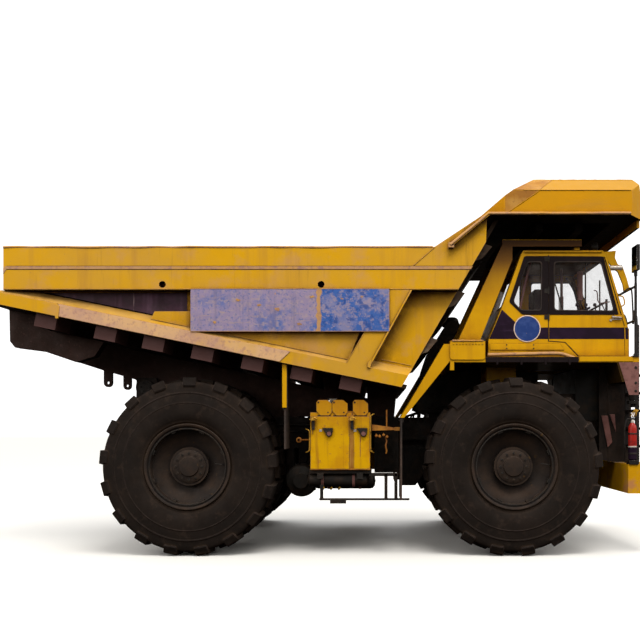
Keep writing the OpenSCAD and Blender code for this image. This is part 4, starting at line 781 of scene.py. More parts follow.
def flapBrackets():                            # hangers and clamps of the rock flaps
    mesh, dark = bmesh.new(), bmesh.new()
    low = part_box("rock_flaps")[0]
    for side in bothSides:
        addBlock(mesh, (low.x - 0.006, side * 2.452, 2.225),
                 (low.x + 0.062, side * 2.546, floorZ(low.x + 0.08) - 0.004))
        addBolts(dark, (low.x + 0.008, side * 2.49, 2.21), (low.x + 0.008, side * 2.06, 2.21), 5,
                 (-1, 0, 0), 0.03)
        addBlock(dark, (low.x + 0.008, side * 2.02, 2.18), (low.x + 0.018, side * 2.53, 2.24))
    makePiece("flap_brackets", mesh, "dump_body", "cabYellow", 0.006)
    makePiece("flap_clamps", dark, "dump_body", "railBlack", 0.002)


bodySeams()
railEdges()
wearPlates()
braceFlanges()
recessShadeLiners()
plateDetails()
canopyEdges()
bedLiners()
underBody()
flapBrackets()
print("dump body dressed")


# wheels

lugCount = 17
sector = math.pi / lugCount
tyreProfile = [                                # radius and distance from the tyre's middle
    (0.623, 0.276), (0.64, 0.3), (0.668, 0.318), (0.676, 0.33), (0.7, 0.335), (0.712, 0.345), (0.735, 0.35),
    (0.76, 0.361), (0.82, 0.369), (0.9, 0.37), (0.95, 0.366), (0.955, 0.37), (0.965, 0.37), (0.97, 0.364),
    (1.03, 0.357), (1.09, 0.347), (1.1, 0.352), (1.115, 0.351), (1.12, 0.34), (1.18, 0.33), (1.24, 0.318),
    (1.268, 0.306), (1.28, 0.29), (1.284, 0.26), (1.285, 0.14), (1.285, 0.03), (1.279, 0.012)]
# a lug's cross-section, from the middle of the tread over the shoulder: distance, radius, half width
lugSection = [(0.02, 1.27, 0.1), (0.02, 1.325, 0.094), (0.032, 1.344, 0.088), (0.15, 1.345, 0.096),
              (0.275, 1.345, 0.1), (0.312, 1.325, 0.1), (0.35, 1.225, 0.094), (0.342, 1.2, 0.09),
              (0.28, 1.26, 0.112)]


def wheelPlace(x, y, side=1, out=0):           # local Z points out of the truck
    return spotAt(x, y + side * out, axleZ, "X", -90 * side)


def addTyre(mesh, x, y):
    profile = tyreProfile + [(r, -a) for r, a in tyreProfile[::-1]]
    addLathe(mesh, profile, wheelPlace(x, y), 4 * lugCount * 2)
    for i in range(2 * lugCount):
        side = 1 if i % 2 == 0 else -1
        angle = i * sector
        out = Vector((-math.sin(angle), 0, -math.cos(angle)))
        along = Vector((-math.cos(angle), 0, math.sin(angle)))
        wearDown = random.uniform(0, 0.004) if i else 0
        rows = []
        for end in (-1, 1):
            row = []
            for a, r, half in lugSection:
                shift = (a - 0.15) * 0.17
                top = r - (wearDown if r > 1.3 else 0)
                foot = Vector((x, y + side * a, axleZ))
                row.append(mesh.verts.new(foot + out * top + along * (end * half + shift)))
            rows.append(row)
        count = len(lugSection)
        mesh.faces.new(rows[0])
        mesh.faces.new(rows[1][::-1])
        for k in range(count):
            j = (k + 1) % count
            mesh.faces.new((rows[0][k], rows[0][j], rows[1][j], rows[1][k]))


def tyres():
    for end, side in sideNames:
        for name, body, x, places in (("tyre_front_", "wheel_front_", frontAxleX, [frontTyreY]),
                                      ("tyres_rear_", "wheels_rear_", rearAxleX, [outerTyreY, innerTyreY])):
            mesh = bmesh.new()
            for y in places:
                addTyre(mesh, x, side * y)
            makePiece(name + end + "_treaded", mesh, body + end, "tyreRubber", 0.007,
                      replaces=[name + end])


rim = {"studs": 0.45, "studsOut": 0.075, "cap": 0.25, "capOut": 0.2}


def addRimFace(mesh, x, y, side):              # lock ring, valve, studs and cleats on a rim's open side
    place = wheelPlace(x, y, side)
    addLathe(mesh, [(0.606, 0.334), (0.634, 0.331), (0.645, 0.338), (0.648, 0.35), (0.64, 0.357),
                    (0.622, 0.355), (0.606, 0.347)], place, 96)
    addLathe(mesh, [(0.563, 0.33), (0.578, 0.327), (0.584, 0.335), (0.578, 0.343), (0.563, 0.34)], place,
             96, 1)
    addBoltCircle(mesh, wheelPlace(x, y, side, rim["studsOut"]), rim["studs"], 20, (0, side, 0), 0.05, 1)
    for k in range(8):
        angle = 2 * math.pi * (k + 0.5) / 8
        turn = place @ Matrix.Rotation(angle, 4, "Z")
        addBlock(mesh, (0.54, -0.035, 0.2), (0.572, 0.035, 0.322), 1, turn)
    valve = [place @ Vector(p) for p in ((0.56, 0.02, 0.24), (0.52, 0.03, 0.29),
                                         (0.44, 0.04, 0.3), (0.4, 0.05, 0.27))]
    addHose(mesh, valve, 5, 0.008, 8, 1)


def addHubCap(mesh, x, y, side, out):          # stepped cover with bolts
    wide = rim["cap"]
    addLathe(mesh, [(wide, out - 0.002), (wide, out + 0.016), (wide - 0.03, out + 0.026),
                    (wide * 0.62, out + 0.03), (wide * 0.58, out + 0.05), (wide * 0.3, out + 0.056),
                    (0.001, out + 0.057)], wheelPlace(x, y, side), 64)
    addBoltCircle(mesh, wheelPlace(x, y, side, out + 0.02), wide - 0.05, 12, (0, side, 0), 0.034, 1)


def rims():
    for end, side in sideNames:
        low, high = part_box("rim_front_" + end)
        frontOut = min(abs(low.y if side < 0 else high.y) - frontTyreY, 0.215)
        for name, body, x, y, out in (("rim_front_", "wheel_front_", frontAxleX, frontTyreY, frontOut),
                                      ("rims_rear_", "wheels_rear_", rearAxleX, outerTyreY, rim["capOut"])):
            mesh = bmesh.new()
            addRimFace(mesh, x, side * y, side)
            addHubCap(mesh, x, side * y, side, out)
            makePiece(name + end + "_fittings", mesh, body + end, "rimDark machineIron", 0.002)


tyres()
rims()
print("wheels made")


# cab

cabFace = cabLow.y                             # outer face on the door's side
cabBack, cabFront = cabLow.x, cabHigh.x
doorSeam = cabBack + 0.906
frameRear = [(3.066, 4.524), (2.836, 3.83), (3.037, 3.637), (doorSeam - 0.004, 3.637),
             (doorSeam - 0.004, 4.524)]
paneRear = [(3.113, 4.446), (2.891, 3.82), (3.017, 3.694), (3.325, 3.694), (3.335, 4.446)]
frameDoor = [(doorSeam + 0.006, 4.524), (doorSeam + 0.006, 3.637), (4.49, 3.637), (4.262, 4.518)]
paneDoor = [(3.509, 4.446), (3.509, 3.694), (4.434, 3.684), (4.231, 4.446)]
windowRear, glassRear = rounded(frameRear, 0.03), rounded(paneRear, 0.05)
windowDoor, glassDoor = rounded(frameDoor, 0.03), rounded(paneDoor, 0.055)
cabSides = (("right", cabFace, -1, "cab_door"), ("left", cabHigh.y, 1, "chassis"))


def cabWindows():                              # frames and rubber seals
    for end, y, out, doorBody in cabSides:
        for name, body, frameLine, glass, middle, shrink in (
                ("cab_frame_", "chassis", windowRear, glassRear, 3.1, 0.06),
                ("door_frame_", doorBody, windowDoor, glassDoor, 3.95, 0.035)):
            mesh = bmesh.new()
            inner = [(x + (middle - x) * shrink, z + (4.05 - z) * 0.05) for x, z in glass]
            addRing(mesh, frameLine, glass, y, y + out * 0.007)
            addRing(mesh, glass, inner, y - out * 0.02, y + out * 0.011, 1)
            makePiece(name + end, mesh, body, "sealBlack flapGrey", 0.003)


stripe = {"low": 3.272, "high": 3.444}


def cabStripes():                              # dark stripes and the round disc on the cab's sides
    low, high = stripe["low"], stripe["high"]
    for end, y, out, doorBody in cabSides:
        y1 = y + out * 0.003
        mesh = bmesh.new()
        addPlate(mesh, [(cabBack + 0.014, low), (doorSeam - 0.004, low), (doorSeam - 0.004, high),
                        (3.012, high), (2.924, 3.53), (2.727, 3.716)], y, y1)
        addPlate(mesh, [(4.596, low), (4.638, low), (4.632, high), (4.592, high)], y, y1)
        makePiece("cab_stripe_" + end, mesh, "chassis", "stripeDark")
        mesh = bmesh.new()
        addPlate(mesh, [(doorSeam + 0.012, low), (4.578, low), (4.574, high), (doorSeam + 0.012, high)], y,
                 y1)
        makePiece("door_stripe_" + end, mesh, doorBody, "stripeDark")
        mesh = bmesh.new()
        place = spotAt(3.108, y, 3.426, "X", -90 * out)
        addLathe(mesh, [(0.203, -0.002), (0.203, 0.006), (0.198, 0.0085), (0.191, 0.0085), (0.188, 0.006)],
                 place, 72, 1)
        addLathe(mesh, [(0.19, 0.004), (0.19, 0.0062), (0.001, 0.0066)], place, 72)
        makePiece("cab_disc_" + end, mesh, "chassis", "discBlue discRim")


sill = {"low": 3.107, "high": 3.2, "out": 0.012}
roofUnit = {"x0": 3.25, "x1": 3.95, "y0": -1.9, "y1": -0.9, "fins": 6}


def cabFittings():                             # sill, hinges, lip, gutters, roof unit and lamps
    mesh, y, out = bmesh.new(), cabFace, cabFace - sill["out"]
    addPlate(mesh, [(2.549, sill["low"]), (3.664, sill["low"]), (3.6, sill["high"]), (2.549, sill["high"])],
             out, y + 0.002)
    for x in (2.797, 3.205):
        addBolts(mesh, (x, out, 3.182), (x, out, 3.128), 2, (0, -1, 0), 0.013, 1)
    for z in (3.6, 4.0, 4.48):                 # hinges
        pin = doorSeam + 0.001
        addRod(mesh, (pin, y - 0.008, z - 0.05), (pin, y - 0.008, z + 0.05), 0.012, 16, paint=1)
        addBlock(mesh, (doorSeam - 0.06, y - 0.01, z - 0.03), (doorSeam - 0.008, y + 0.001, z + 0.03), 1)
    edge = [(2.5, y - 0.1, 3.022), (3.0, y - 0.12, 3.03), (3.45, y - 0.12, 3.04), (3.62, y - 0.11, 3.03),
            (3.8, y - 0.1, 2.97), (3.86, y - 0.1, 2.94)]
    addHose(mesh, edge, 8, 0.028, 10, 3)       # worn lip along the deck
    hanger = [(4.5, y - 0.02, 3.93), (4.64, y - 0.03, 4.03), (4.68, y - 0.03, 3.98), (4.7, y - 0.03, 3.6)]
    addHose(mesh, hanger, 6, 0.012, 10, 1)
    addHose(mesh, [(4.49, y - 0.02, 3.92), (4.55, y - 0.03, 3.9), (4.57, y - 0.03, 3.8),
                   (4.53, y - 0.02, 3.76)], 6, 0.01, 10)
    roof = cabHigh.z
    for face, side in ((cabFace, -1), (cabHigh.y, 1)):     # gutters along the roof
        gutterY = face + side * 0.008
        addTube(mesh, [(3.07, gutterY, roof - 0.028), (4.23, gutterY, roof - 0.028)], 0.012, 8)
    x0, y0, y1 = roofUnit["x0"], roofUnit["y0"], roofUnit["y1"]
    addBlock(mesh, (x0, y0, roof - 0.001), (roofUnit["x1"], y1, roof + 0.07))
    for k in range(roofUnit["fins"]):
        addBlock(mesh, (x0 + k * 0.11, y0 - 0.005, roof + 0.015),
                 (x0 + 0.07 + k * 0.11, y1 + 0.005, roof + 0.055), 1)
    for lampY in (-2.1, -0.7):                 # work lamps on the roof's front edge
        lamp = spotAt(4.18, lampY, roof + 0.085, "Y")
        addLathe(mesh, [(0.001, -0.06), (0.05, -0.055), (0.075, 0), (0.08, 0.03), (0.072, 0.034)], lamp, 24,
                 1)
        addLathe(mesh, [(0.071, 0.03), (0.001, 0.034)], lamp, 24, 2)
        addRod(mesh, (4.18, lampY, roof - 0.002), (4.18, lampY, roof + 0.02), 0.02, 10, paint=1)
    addWeld(mesh, (cabBack + 0.002, y + 0.004, deckTop + 0.008), (cabFront, y + 0.004, deckTop + 0.008),
            0.006)
    makePiece("cab_fittings", mesh, "chassis", "cabYellow machineIron lampLens wornPink",
              0.003)


def doorDetails():                             # handle, seams and the windscreen's wiper
    mesh, y = bmesh.new(), cabFace
    handle = [(4.4, y - 0.004, 3.607), (4.4, y - 0.028, 3.6), (4.46, y - 0.034, 3.595),
              (4.515, y - 0.028, 3.59), (4.515, y - 0.004, 3.583)]
    addHose(mesh, handle, 5, 0.012, 10)
    addBlock(mesh, (4.395, y - 0.01, 3.56), (4.525, y + 0.001, 3.62))
    addRod(mesh, (4.37, y - 0.014, 3.555), (4.37, y + 0.001, 3.555), 0.017, 18)
    makePiece("door_handle_cover", mesh, "cab_door", "paleSteel", 0.003)
    mesh = bmesh.new()
    seam = [(doorSeam, 4.5), (doorSeam, 3.24), (3.68, 3.222), (3.88, 3.012)]
    top = [(doorSeam, 4.5), (4.28, 4.51)]
    for line, out, radius in ((seam[:2], 0.002, 0.0065), (seam[1:3], 0.002, 0.0065),
                              (seam[2:], 0.002, 0.0065), ([(4.28, 4.51), (4.58, 3.47)], 0.003, 0.006),
                              (top, 0.003, 0.006)):
        addTube(mesh, [(x, y + out, z) for x, z in line], radius, 8)
    makePiece("door_seal", mesh, "chassis", "sealBlack")
    mesh = bmesh.new()
    addHose(mesh, [(4.66, -1.4, 3.52), (4.62, -1.4, 3.66), (4.52, -1.25, 3.98)], 5, 0.009, 8)
    addBlock(mesh, (4.48, -1.29, 3.74), (4.5, -1.27, 4.34))
    addRod(mesh, (4.62, -1.4, 3.5), (4.67, -1.4, 3.52), 0.025, 16)
    makePiece("windscreen_wiper", mesh, "chassis", "railBlack", 0.002)


def plump(pad, reach):                         # swells a cushion by a short cloth simulation
    grid = pad.modifiers.new("grid", "REMESH")
    grid.mode, grid.voxel_size, grid.use_smooth_shade = "VOXEL", 0.01, True
    bpy.context.view_layer.objects.active = pad
    bpy.ops.object.modifier_apply(modifier=grid.name)
    rest = [vert.co.copy() for vert in pad.data.vertices]
    cloth = pad.modifiers.new("swell", "CLOTH")
    cloth.settings.use_pressure, cloth.settings.uniform_pressure_force = True, 4
    cloth.settings.quality, cloth.settings.effector_weights.gravity = 4, 0
    scene = bpy.context.scene
    for frameNumber in range(1, 21):
        scene.frame_set(frameNumber)
    swollen = pad.evaluated_get(bpy.context.evaluated_depsgraph_get()).to_mesh()
    ends = [vert.co.copy() for vert in swollen.vertices]
    pad.modifiers.remove(cloth)
    scene.frame_set(1)
    for vert, start, end in zip(pad.data.vertices, rest, ends):
        move = end - start
        vert.co = start + move * min(1, reach / max(move.length, 1e-6))


seat = {"x": cabBack + 0.95, "y": cabFace + 0.91, "z": deckTop + 0.06, "swell": 0.014, "bolster": 0.022,
        "channel": 0.007}


def cabControls():                             # console, levers, posts and the blind behind the glass
    mesh = bmesh.new()
    seatX, seatY, floorTop = seat["x"], seat["y"], seat["z"]
    consoleY, blindY = seatY - 0.42, -1.99
    for z0, z1 in ((0.03, 0.06), (0.1, 0.12), (0.17, 0.19), (0.24, 0.26)):   # folds of the seat's base
        addBlock(mesh, (seatX - 0.01, seatY - 0.215, floorTop + z0),
                 (seatX + 0.46, seatY + 0.215, floorTop + z1))
    addRod(mesh, (seatX + 0.12, seatY - 0.31, floorTop + 0.3), (seatX + 0.4, seatY - 0.31, floorTop + 0.34),
           0.02, 12)
    for x in (4.02, 4.16, 4.3):                # levers with their knobs
        addRod(mesh, (x, consoleY, floorTop + 0.55), (x - 0.03, consoleY, floorTop + 0.78), 0.011, 10)
        addLathe(mesh, [(0.001, 0.05), (0.024, 0.04), (0.028, 0), (0.001, -0.01)],
                 spotAt(x - 0.035, consoleY, floorTop + 0.79), 16)
    for k in range(5):                         # dials on the console
        dial = spotAt(4.096, seatY - 0.4 + k * 0.2, floorTop + 0.48, "Y", -90)
        addLathe(mesh, [(0.06, -0.004), (0.06, 0.01), (0.05, 0.012), (0.046, 0.004), (0.001, 0.004)], dial,
                 24, 1)
    addHose(mesh, [(4.3, -0.62, 3.3), (4.3, -0.64, 3.9), (4.24, -0.64, 4.25), (4.1, -0.62, 4.5)], 6, 0.018,
            10, 1)
    addBlock(mesh, (2.62, -2.2, 3.06), (2.98, -0.6, 3.09))
    for y in (-2.15, -0.66):
        addHose(mesh, [(2.95, y, 3.1), (3.0, y, 3.6), (3.12, y, 4.2), (3.2, y, 4.5)], 6, 0.02, 10, 2)
    addTube(mesh, [(3.86, -1.3, 3.06), (3.86, -1.3, 4.52)], 0.022, 12, 2)
    # rolled blind in its clips
    addRod(mesh, (3.985, blindY, 3.9), (3.985, blindY, 4.35), 0.044, 20, paint=2)
    for z in (3.93, 4.31):
        addBlock(mesh, (3.98, -2.0, z - 0.012), (4.07, -1.98, z + 0.012), 1)
    addRod(mesh, (4.07, blindY, 3.72), (4.07, blindY, 4.55), 0.012, 10, paint=1)
    addRod(mesh, (3.6, -1.92, 4.22), (3.75, -1.92, 3.72), 0.012, 8, paint=1)
    addHose(mesh, [(4.2, blindY, 4.06), (4.25, blindY, 4.03), (4.28, blindY, 3.87), (4.45, blindY, 3.88)],
            6, 0.009, 8, 2)
    makePiece("cab_controls", mesh, "chassis", "cabPlastic machineIron padBrown", 0.004)


def cabSeat():                                 # two padded cushions
    spot = (seat["x"], seat["y"], seat["z"])
    for name, low, high, facing in (("seat_cushion", (-0.02, -0.27, 0.3), (0.52, 0.27, 0.44), 2),
                                    ("seat_back", (-0.12, -0.26, 0.4), (0.02, 0.26, 1.08), 0)):
        low, high = [tuple(a + b for a, b in zip(spot, corner)) for corner in (low, high)]
        middle, size = (Vector(low) + Vector(high)) / 2, Vector(high) - Vector(low)
        mesh = bmesh.new()
        addBlock(mesh, low, high)
        bmesh.ops.bevel(mesh, geom=mesh.edges[:], offset=0.03, segments=3, affect="EDGES")
        pad = makePiece(name + "_padded", mesh, "chassis", "seatCloth")
        plump(pad, seat["swell"])
        for vert in pad.data.vertices:         # bolsters, a hollow where one sits, and sewn channels
            u = [(vert.co[i] - middle[i]) / size[i] for i in range(3)]
            channel = max(0, 1 - abs(abs(u[1]) - 0.3) / 0.03) + max(0, 1 - abs(u[1]) / 0.03)
            face = max(0, min(1, 4 * u[facing]))
            bolster = min(1, (abs(u[1]) * 2) ** 4)
            vert.co[facing] += face * (seat["bolster"] * bolster - seat["channel"] * channel)
        smoothing = pad.modifiers.new("soft", "SUBSURF")
        smoothing.levels = smoothing.render_levels = 1


cabWindows()
cabStripes()
cabFittings()
doorDetails()
cabControls()
cabSeat()
print("cab dressed")


# roll-over guard, deck and front

guard = {"footHigh": 0.2373, "plate": 0.046}


def guardBolts():                              # feet, bolts and seams of the roll-over guard
    mesh = bmesh.new()
    low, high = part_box("rops")
    top, plate = deckTop + guard["footHigh"], guard["plate"]
    for y0 in (low.y, low.y + 1.64):
        for side, y in ((-1, y0), (1, y0 + 0.33)):
            if y0 == low.y and side < 0:
                foot = rounded([(low.x - 0.004, 2.945), (low.x - 0.004, top), (low.x + 0.52, top),
                                (low.x + 0.52, 2.945)], 0.05)
                addPlate(mesh, foot, y - plate, y + 0.001, 1)
                addWeld(mesh, (low.x + 0.03, y - plate, top), (low.x + 0.49, y - plate, top), 0.013, 2)
                y -= plate
            addBolts(mesh, (low.x + 0.05, y, top - 0.05), (low.x + 0.48, y, top - 0.05), 10, (0, side, 0),
                     0.016, 1)
        for x in (low.x + 0.06, low.x + 0.49):
            addBolts(mesh, (x, y0 + 0.06, top), (x, y0 + 0.27, top), 2, (0, 0, 1), 0.04)
        addBlock(mesh, (low.x + 0.02, y0 + 0.05, top - 0.001), (low.x + 0.105, y0 + 0.28, top + 0.012), 1)
        addBlock(mesh, (low.x + 0.475, y0 + 0.05, top - 0.001), (low.x + 0.515, y0 + 0.28, top + 0.012), 1)
        for x in (2.05, 2.384):
            addWeld(mesh, (x, y0 + 0.06, top), (x, y0 + 0.27, top), 0.009, 1)
    for y in (low.y + 0.06, low.y + 1.7):
        addWeld(mesh, (2.726, y, high.z - 0.001), (3.917, y, high.z - 0.001), 0.004, 1)
    for y in (low.y + 0.165, low.y + 1.805):   # brackets that hold the guard at the cab's roof
        addBlock(mesh, (3.82, y - 0.05, cabHigh.z), (3.9, y + 0.05, high.z - 0.096), 1)
    makePiece("guard_bolts", mesh, "chassis", "machineIron cabYellow wornPink", 0.003)


def deckDetails():                             # walkway, edge strips and the hood's louvres
    mesh = bmesh.new()
    low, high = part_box("deck")
    addBlock(mesh, (3.86, low.y - 0.008, deckTop - 0.07), (4.66, low.y + 0.002, deckTop + 0.004))
    for k in range(14):
        for n in range(18):                    # raised treads on the walkway
            x, y = 2.1 + n * 0.14, 0.55 + k * 0.12
            addBlock(mesh, (x, y, deckTop - 0.001), (x + 0.07, y + 0.02, deckTop + 0.006))
    makePiece("deck_lips", mesh, "chassis", "cabYellow machineIron", 0.002)
    mesh = bmesh.new()                         # dark strips along the deck's edges, painted shade, with clips
    for side in bothSides:
        y = side * high.y
        addBlock(mesh, (2.46, y, deckTop - 0.083), (3.85, y + side * 0.006, deckTop - 0.002))
        for x in (2.62, 2.98, 3.34, 3.7):
            addBlock(mesh, (x, y, deckTop - 0.12), (x + 0.03, y + side * 0.012, deckTop - 0.03))
    makePiece("deck_shade_strips", mesh, "chassis", "sealBlack", 0.002)
    mesh = bmesh.new()
    hoodTop = high.z
    for k in range(9):                         # louvres on the engine's cover
        addBlock(mesh, (2.3 + k * 0.1, -0.3, hoodTop - 0.002), (2.36 + k * 0.1, 0.3, hoodTop + 0.016))
    for x in (3.4, 3.9):
        addHose(mesh, [(x, -0.1, hoodTop), (x, -0.09, hoodTop + 0.05), (x, 0.09, hoodTop + 0.05),
                       (x, 0.1, hoodTop)], 4, 0.01, 8, 1)
    makePiece("hood_louvres", mesh, "chassis", "cabYellow railBlack", 0.003)


rail = {"postX": 4.71, "outerY": 2.42}


def railClamps():                              # feet of the handrails, mirrors
    mesh = bmesh.new()
    postX, outerY = rail["postX"], rail["outerY"]
    for y in (-outerY, -1.5, -0.9, 0.9, 1.5, outerY):
        addRod(mesh, (postX, y, deckTop), (postX, y, deckTop + 0.05), 0.034, 16)
        addBlock(mesh, (4.65, y - 0.05, deckTop - 0.001), (4.748, y + 0.05, deckTop + 0.014))
        for dx in (-0.04, 0.02):
            addBolt(mesh, (postX + dx, y + 0.035, deckTop + 0.014), (0, 0, 1), 0.016)
    for x in (3.3, 2.4):
        addRod(mesh, (x, outerY, deckTop), (x, outerY, deckTop + 0.05), 0.034, 16)
    for y in (-outerY, outerY):                # mirror housings
        addBlock(mesh, (4.70, y - 0.125, 4.275), (4.735, y + 0.125, 4.645))
        addRod(mesh, (postX, y, 4.2), (postX, y, 4.3), 0.026, 14)
    makePiece("rail_clamps", mesh, "chassis", "railBlack", 0.003)
    mesh = bmesh.new()
    for y in (-outerY, outerY):
        addBlock(mesh, (4.6875, y - 0.118, 4.284), (4.6895, y + 0.118, 4.636))
    makePiece("mirror_faces", mesh, "chassis", "mirrorFace", 0.001)


def frontBracket():                            # curved bracket beside the windscreen with its pale lamp
    mesh = bmesh.new()
    y0, y1 = cabFace + 0.01, cabFace + 0.05
    outline = [(4.27, 4.59), (4.454, 4.61), (4.441, 4.502), (4.483, 4.405), (4.56, 4.357), (4.618, 4.194),
               (4.666, 4.02), (4.578, 3.972), (4.56, 4.097), (4.483, 4.29), (4.4, 4.35), (4.31, 4.48)]
    addPlate(mesh, outline, y0, y1)
    makePiece("front_bracket", mesh, "chassis", "cabYellow", 0.004)
    mesh = bmesh.new()
    lamp = spotAt(4.36, cabFace + 0.03, 4.35, "Y")
    addLathe(mesh, [(0.001, 0), (0.03, 0.004), (0.038, 0.02), (0.04, 0.16), (0.044, 0.17), (0.044, 0.186),
                    (0.036, 0.19)], lamp, 28)
    addLathe(mesh, [(0.036, 0.186), (0.001, 0.19)], lamp, 28, 1)
    makePiece("side_lamp", mesh, "chassis", "paleSteel lampLens", 0.001)


def frontDetails():                            # bumper, grille and ladders
    mesh = bmesh.new()
    low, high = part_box("bumper")
    for side in bothSides:
        for y in (1.65, 2.0):
            ring = spotAt(high.x, side * y, 1.16, "Y")
            addLathe(mesh, [(0.128, -0.004), (0.128, 0.006), (0.12, 0.012), (0.109, 0.01), (0.106, -0.004)],
                     ring, 40, 1)
        addBolts(mesh, (high.x, side * 2.25, 1.32), (high.x, side * 1.2, 1.32), 5, (1, 0, 0), 0.03, 1)
        addHose(mesh, [(high.x - 0.02, side * 0.5, 1.02), (high.x, side * 0.5, 0.98),
                       (high.x - 0.1, side * 0.5, 0.93)], 4, 0.02, 10, 1)
        addWeld(mesh, (low.x, side * 2.345, high.z - 0.002), (high.x, side * 2.345, high.z - 0.002), 0.005)
    addBlock(mesh, (high.x - 0.001, -0.3, 1.06), (high.x + 0.006, 0.3, 1.22))
    makePiece("bumper_fittings", mesh, "chassis", "cabYellow machineIron", 0.003)
    mesh = bmesh.new()                         # mesh behind the grille's bars
    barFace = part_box("grille")[1].x
    for k in range(24):
        z = 1.45 + k * 0.06
        addTube(mesh, [(4.64, -0.88, z), (4.64, 0.88, z)], 0.005, 5)
    for k in range(30):
        y = -0.87 + k * 0.06
        addTube(mesh, [(4.645, y, 1.42), (4.645, y, 2.86)], 0.005, 5)
    for side in bothSides:
        addBolts(mesh, (barFace, side * 0.915, 1.5), (barFace, side * 0.915, 2.8), 8, (1, 0, 0), 0.024)
    addBolts(mesh, (barFace, 0, 1.5), (barFace, 0, 2.8), 5, (1, 0, 0), 0.024)
    makePiece("grille_mesh", mesh, "chassis", "grilleDark")
    mesh = bmesh.new()                         # grip bars on the ladders' rungs and loops at their heads
    for side in bothSides:
        for i in range(5):
            z = 1.38 + (i + 1) * 1.61 / 6 + 0.02
            for k in range(9):
                addBlock(mesh, (4.76, side * (1.82 + k * 0.048) - 0.006, z - 0.001),
                         (4.832, side * (1.82 + k * 0.048) + 0.006, z + 0.006))
        for y in (2.265, 1.775):
            addHose(mesh, [(4.78, side * y, 3.47), (4.77, side * y, 3.62), (4.73, side * y, 3.7),
                           (4.72, side * y, 3.5)], 5, 0.015, 10)
    makePiece("ladder_grips", mesh, "chassis", "railBlack", 0.001)


def frontSidePlates():                         # brown plates ahead of the front wheels: yellow panels in painted shade
    mesh = bmesh.new()
    addPlate(mesh, [(4.45, 2.905), (4.745, 2.905), (4.745, 2.42), (4.6, 2.42)], -2.455, -2.44)
    addPlate(mesh, [(4.39, 2.12), (4.49, 2.12), (4.56, 1.7), (4.49, 1.62)], -1.74, -1.72)
    addPlate(mesh, [(4.52, 2.14), (4.6, 2.14), (4.62, 1.86)], -1.74, -1.72)
    for z in (2.83, 2.6, 2.48):
        addBolt(mesh, (4.7, -2.455, z), (0, -1, 0), 0.028, 1)
    for side in bothSides:                     # panels and screens between the wheel and the radiator
        addPlate(mesh, [(4.36, 1.42), (4.6, 1.385), (4.87, 1.385), (4.87, 2.9), (4.36, 2.9)], side * 1.7,
                 side * 1.706, 2)
        addPlate(mesh, [(3.9, 1.5), (4.66, 1.42), (4.66, 2.5), (3.9, 2.5)], side * 0.8, side * 0.808, 2)
        addBlock(mesh, (4.5, side * 1.704, 1.385), (4.53, side * 1.712, 2.9), 2)
    makePiece("front_plates", mesh, "chassis", "padBrown machineIron chassisDark", 0.004)


extinguisher = {"at": (4.7, -2.3, 1.44), "radius": 0.063, "collar": 0.067}
reservoir = {"at": (4.72, -2.24, 2.34), "radius": 0.055}


def fireExtinguisher():                        # with the reservoir and hoses above it
    mesh = bmesh.new()
    x, y, z = extinguisher["at"]
    place, wide, collar = spotAt(x, y, z), extinguisher["radius"], extinguisher["collar"]
    for profile, steps, paint in (
            ([(0.001, 0), (0.05, 0.004), (0.062, 0.02), (wide, 0.19)], 32, 3),
            ([(wide, 0.19), (0.065, 0.193), (0.065, 0.212), (wide, 0.215)], 32, 2),
            ([(wide, 0.215), (wide, 0.47), (0.055, 0.52), (0.034, 0.55), (0.025, 0.565)], 32, 0),
            ([(0.025, 0.56), (0.026, 0.6), (0.02, 0.61), (0.001, 0.612)], 24, 2)):
        addLathe(mesh, profile, place, steps, paint)
    for low, high in (((-0.03, -0.014, 0.6), (0.03, 0.014, 0.64)),
                      ((-0.05, -0.01, 0.645), (0.06, 0.01, 0.658)),
                      ((-0.02, 0.06, -0.05), (0.02, 0.075, 0.62)),
                      ((-0.07, -0.07, -0.062), (0.07, 0.075, -0.002))):
        addBlock(mesh, low, high, 1, place)
    for rise in (0.1, 0.4):
        addLathe(mesh, [(wide, -0.012), (collar, -0.01), (collar, 0.01), (wide, 0.012)],
                 spotAt(x, y, z + rise), 32, 1)
    hose = [(-0.02, 0, 0.61), (-0.08, -0.01, 0.62), (-0.115, -0.01, 0.52), (-0.12, 0, 0.3),
            (-0.11, 0, 0.16)]
    addHose(mesh, [place @ Vector(point) for point in hose], 6, 0.01, 10, 1)
    makePiece("fire_extinguisher", mesh, "chassis", "redPaint railBlack paleSteel stripeDark",
              0.002)
    mesh = bmesh.new()
    wide = reservoir["radius"]
    addLathe(mesh, [(0.001, 0), (0.05, 0.005), (wide, 0.02), (wide, 0.2), (0.06, 0.205), (0.06, 0.23),
                    (0.03, 0.245), (0.001, 0.247)], spotAt(*reservoir["at"]), 28)
    addBlock(mesh, (4.65, -2.3, 2.29), (4.78, -2.18, 2.34))
    addBlock(mesh, (4.7, -2.26, 2.24), (4.75, -2.2, 2.3))
    for k in range(4):                         # hoses above the extinguisher
        addHose(mesh, [(4.68 + 0.025 * k, -2.27, 2.1 - 0.008 * k), (4.715 + 0.02 * k, -2.28, 2.17),
                       (4.77 + 0.014 * k, -2.27, 2.23 - 0.01 * k)], 5, 0.008, 8, 1)
    makePiece("front_reservoir", mesh, "chassis", "machineIron brass", 0.003)


guardBolts()
deckDetails()
railClamps()
frontBracket()
frontDetails()
frontSidePlates()
fireExtinguisher()
print("deck and front dressed")


# tanks and the chassis between the axles

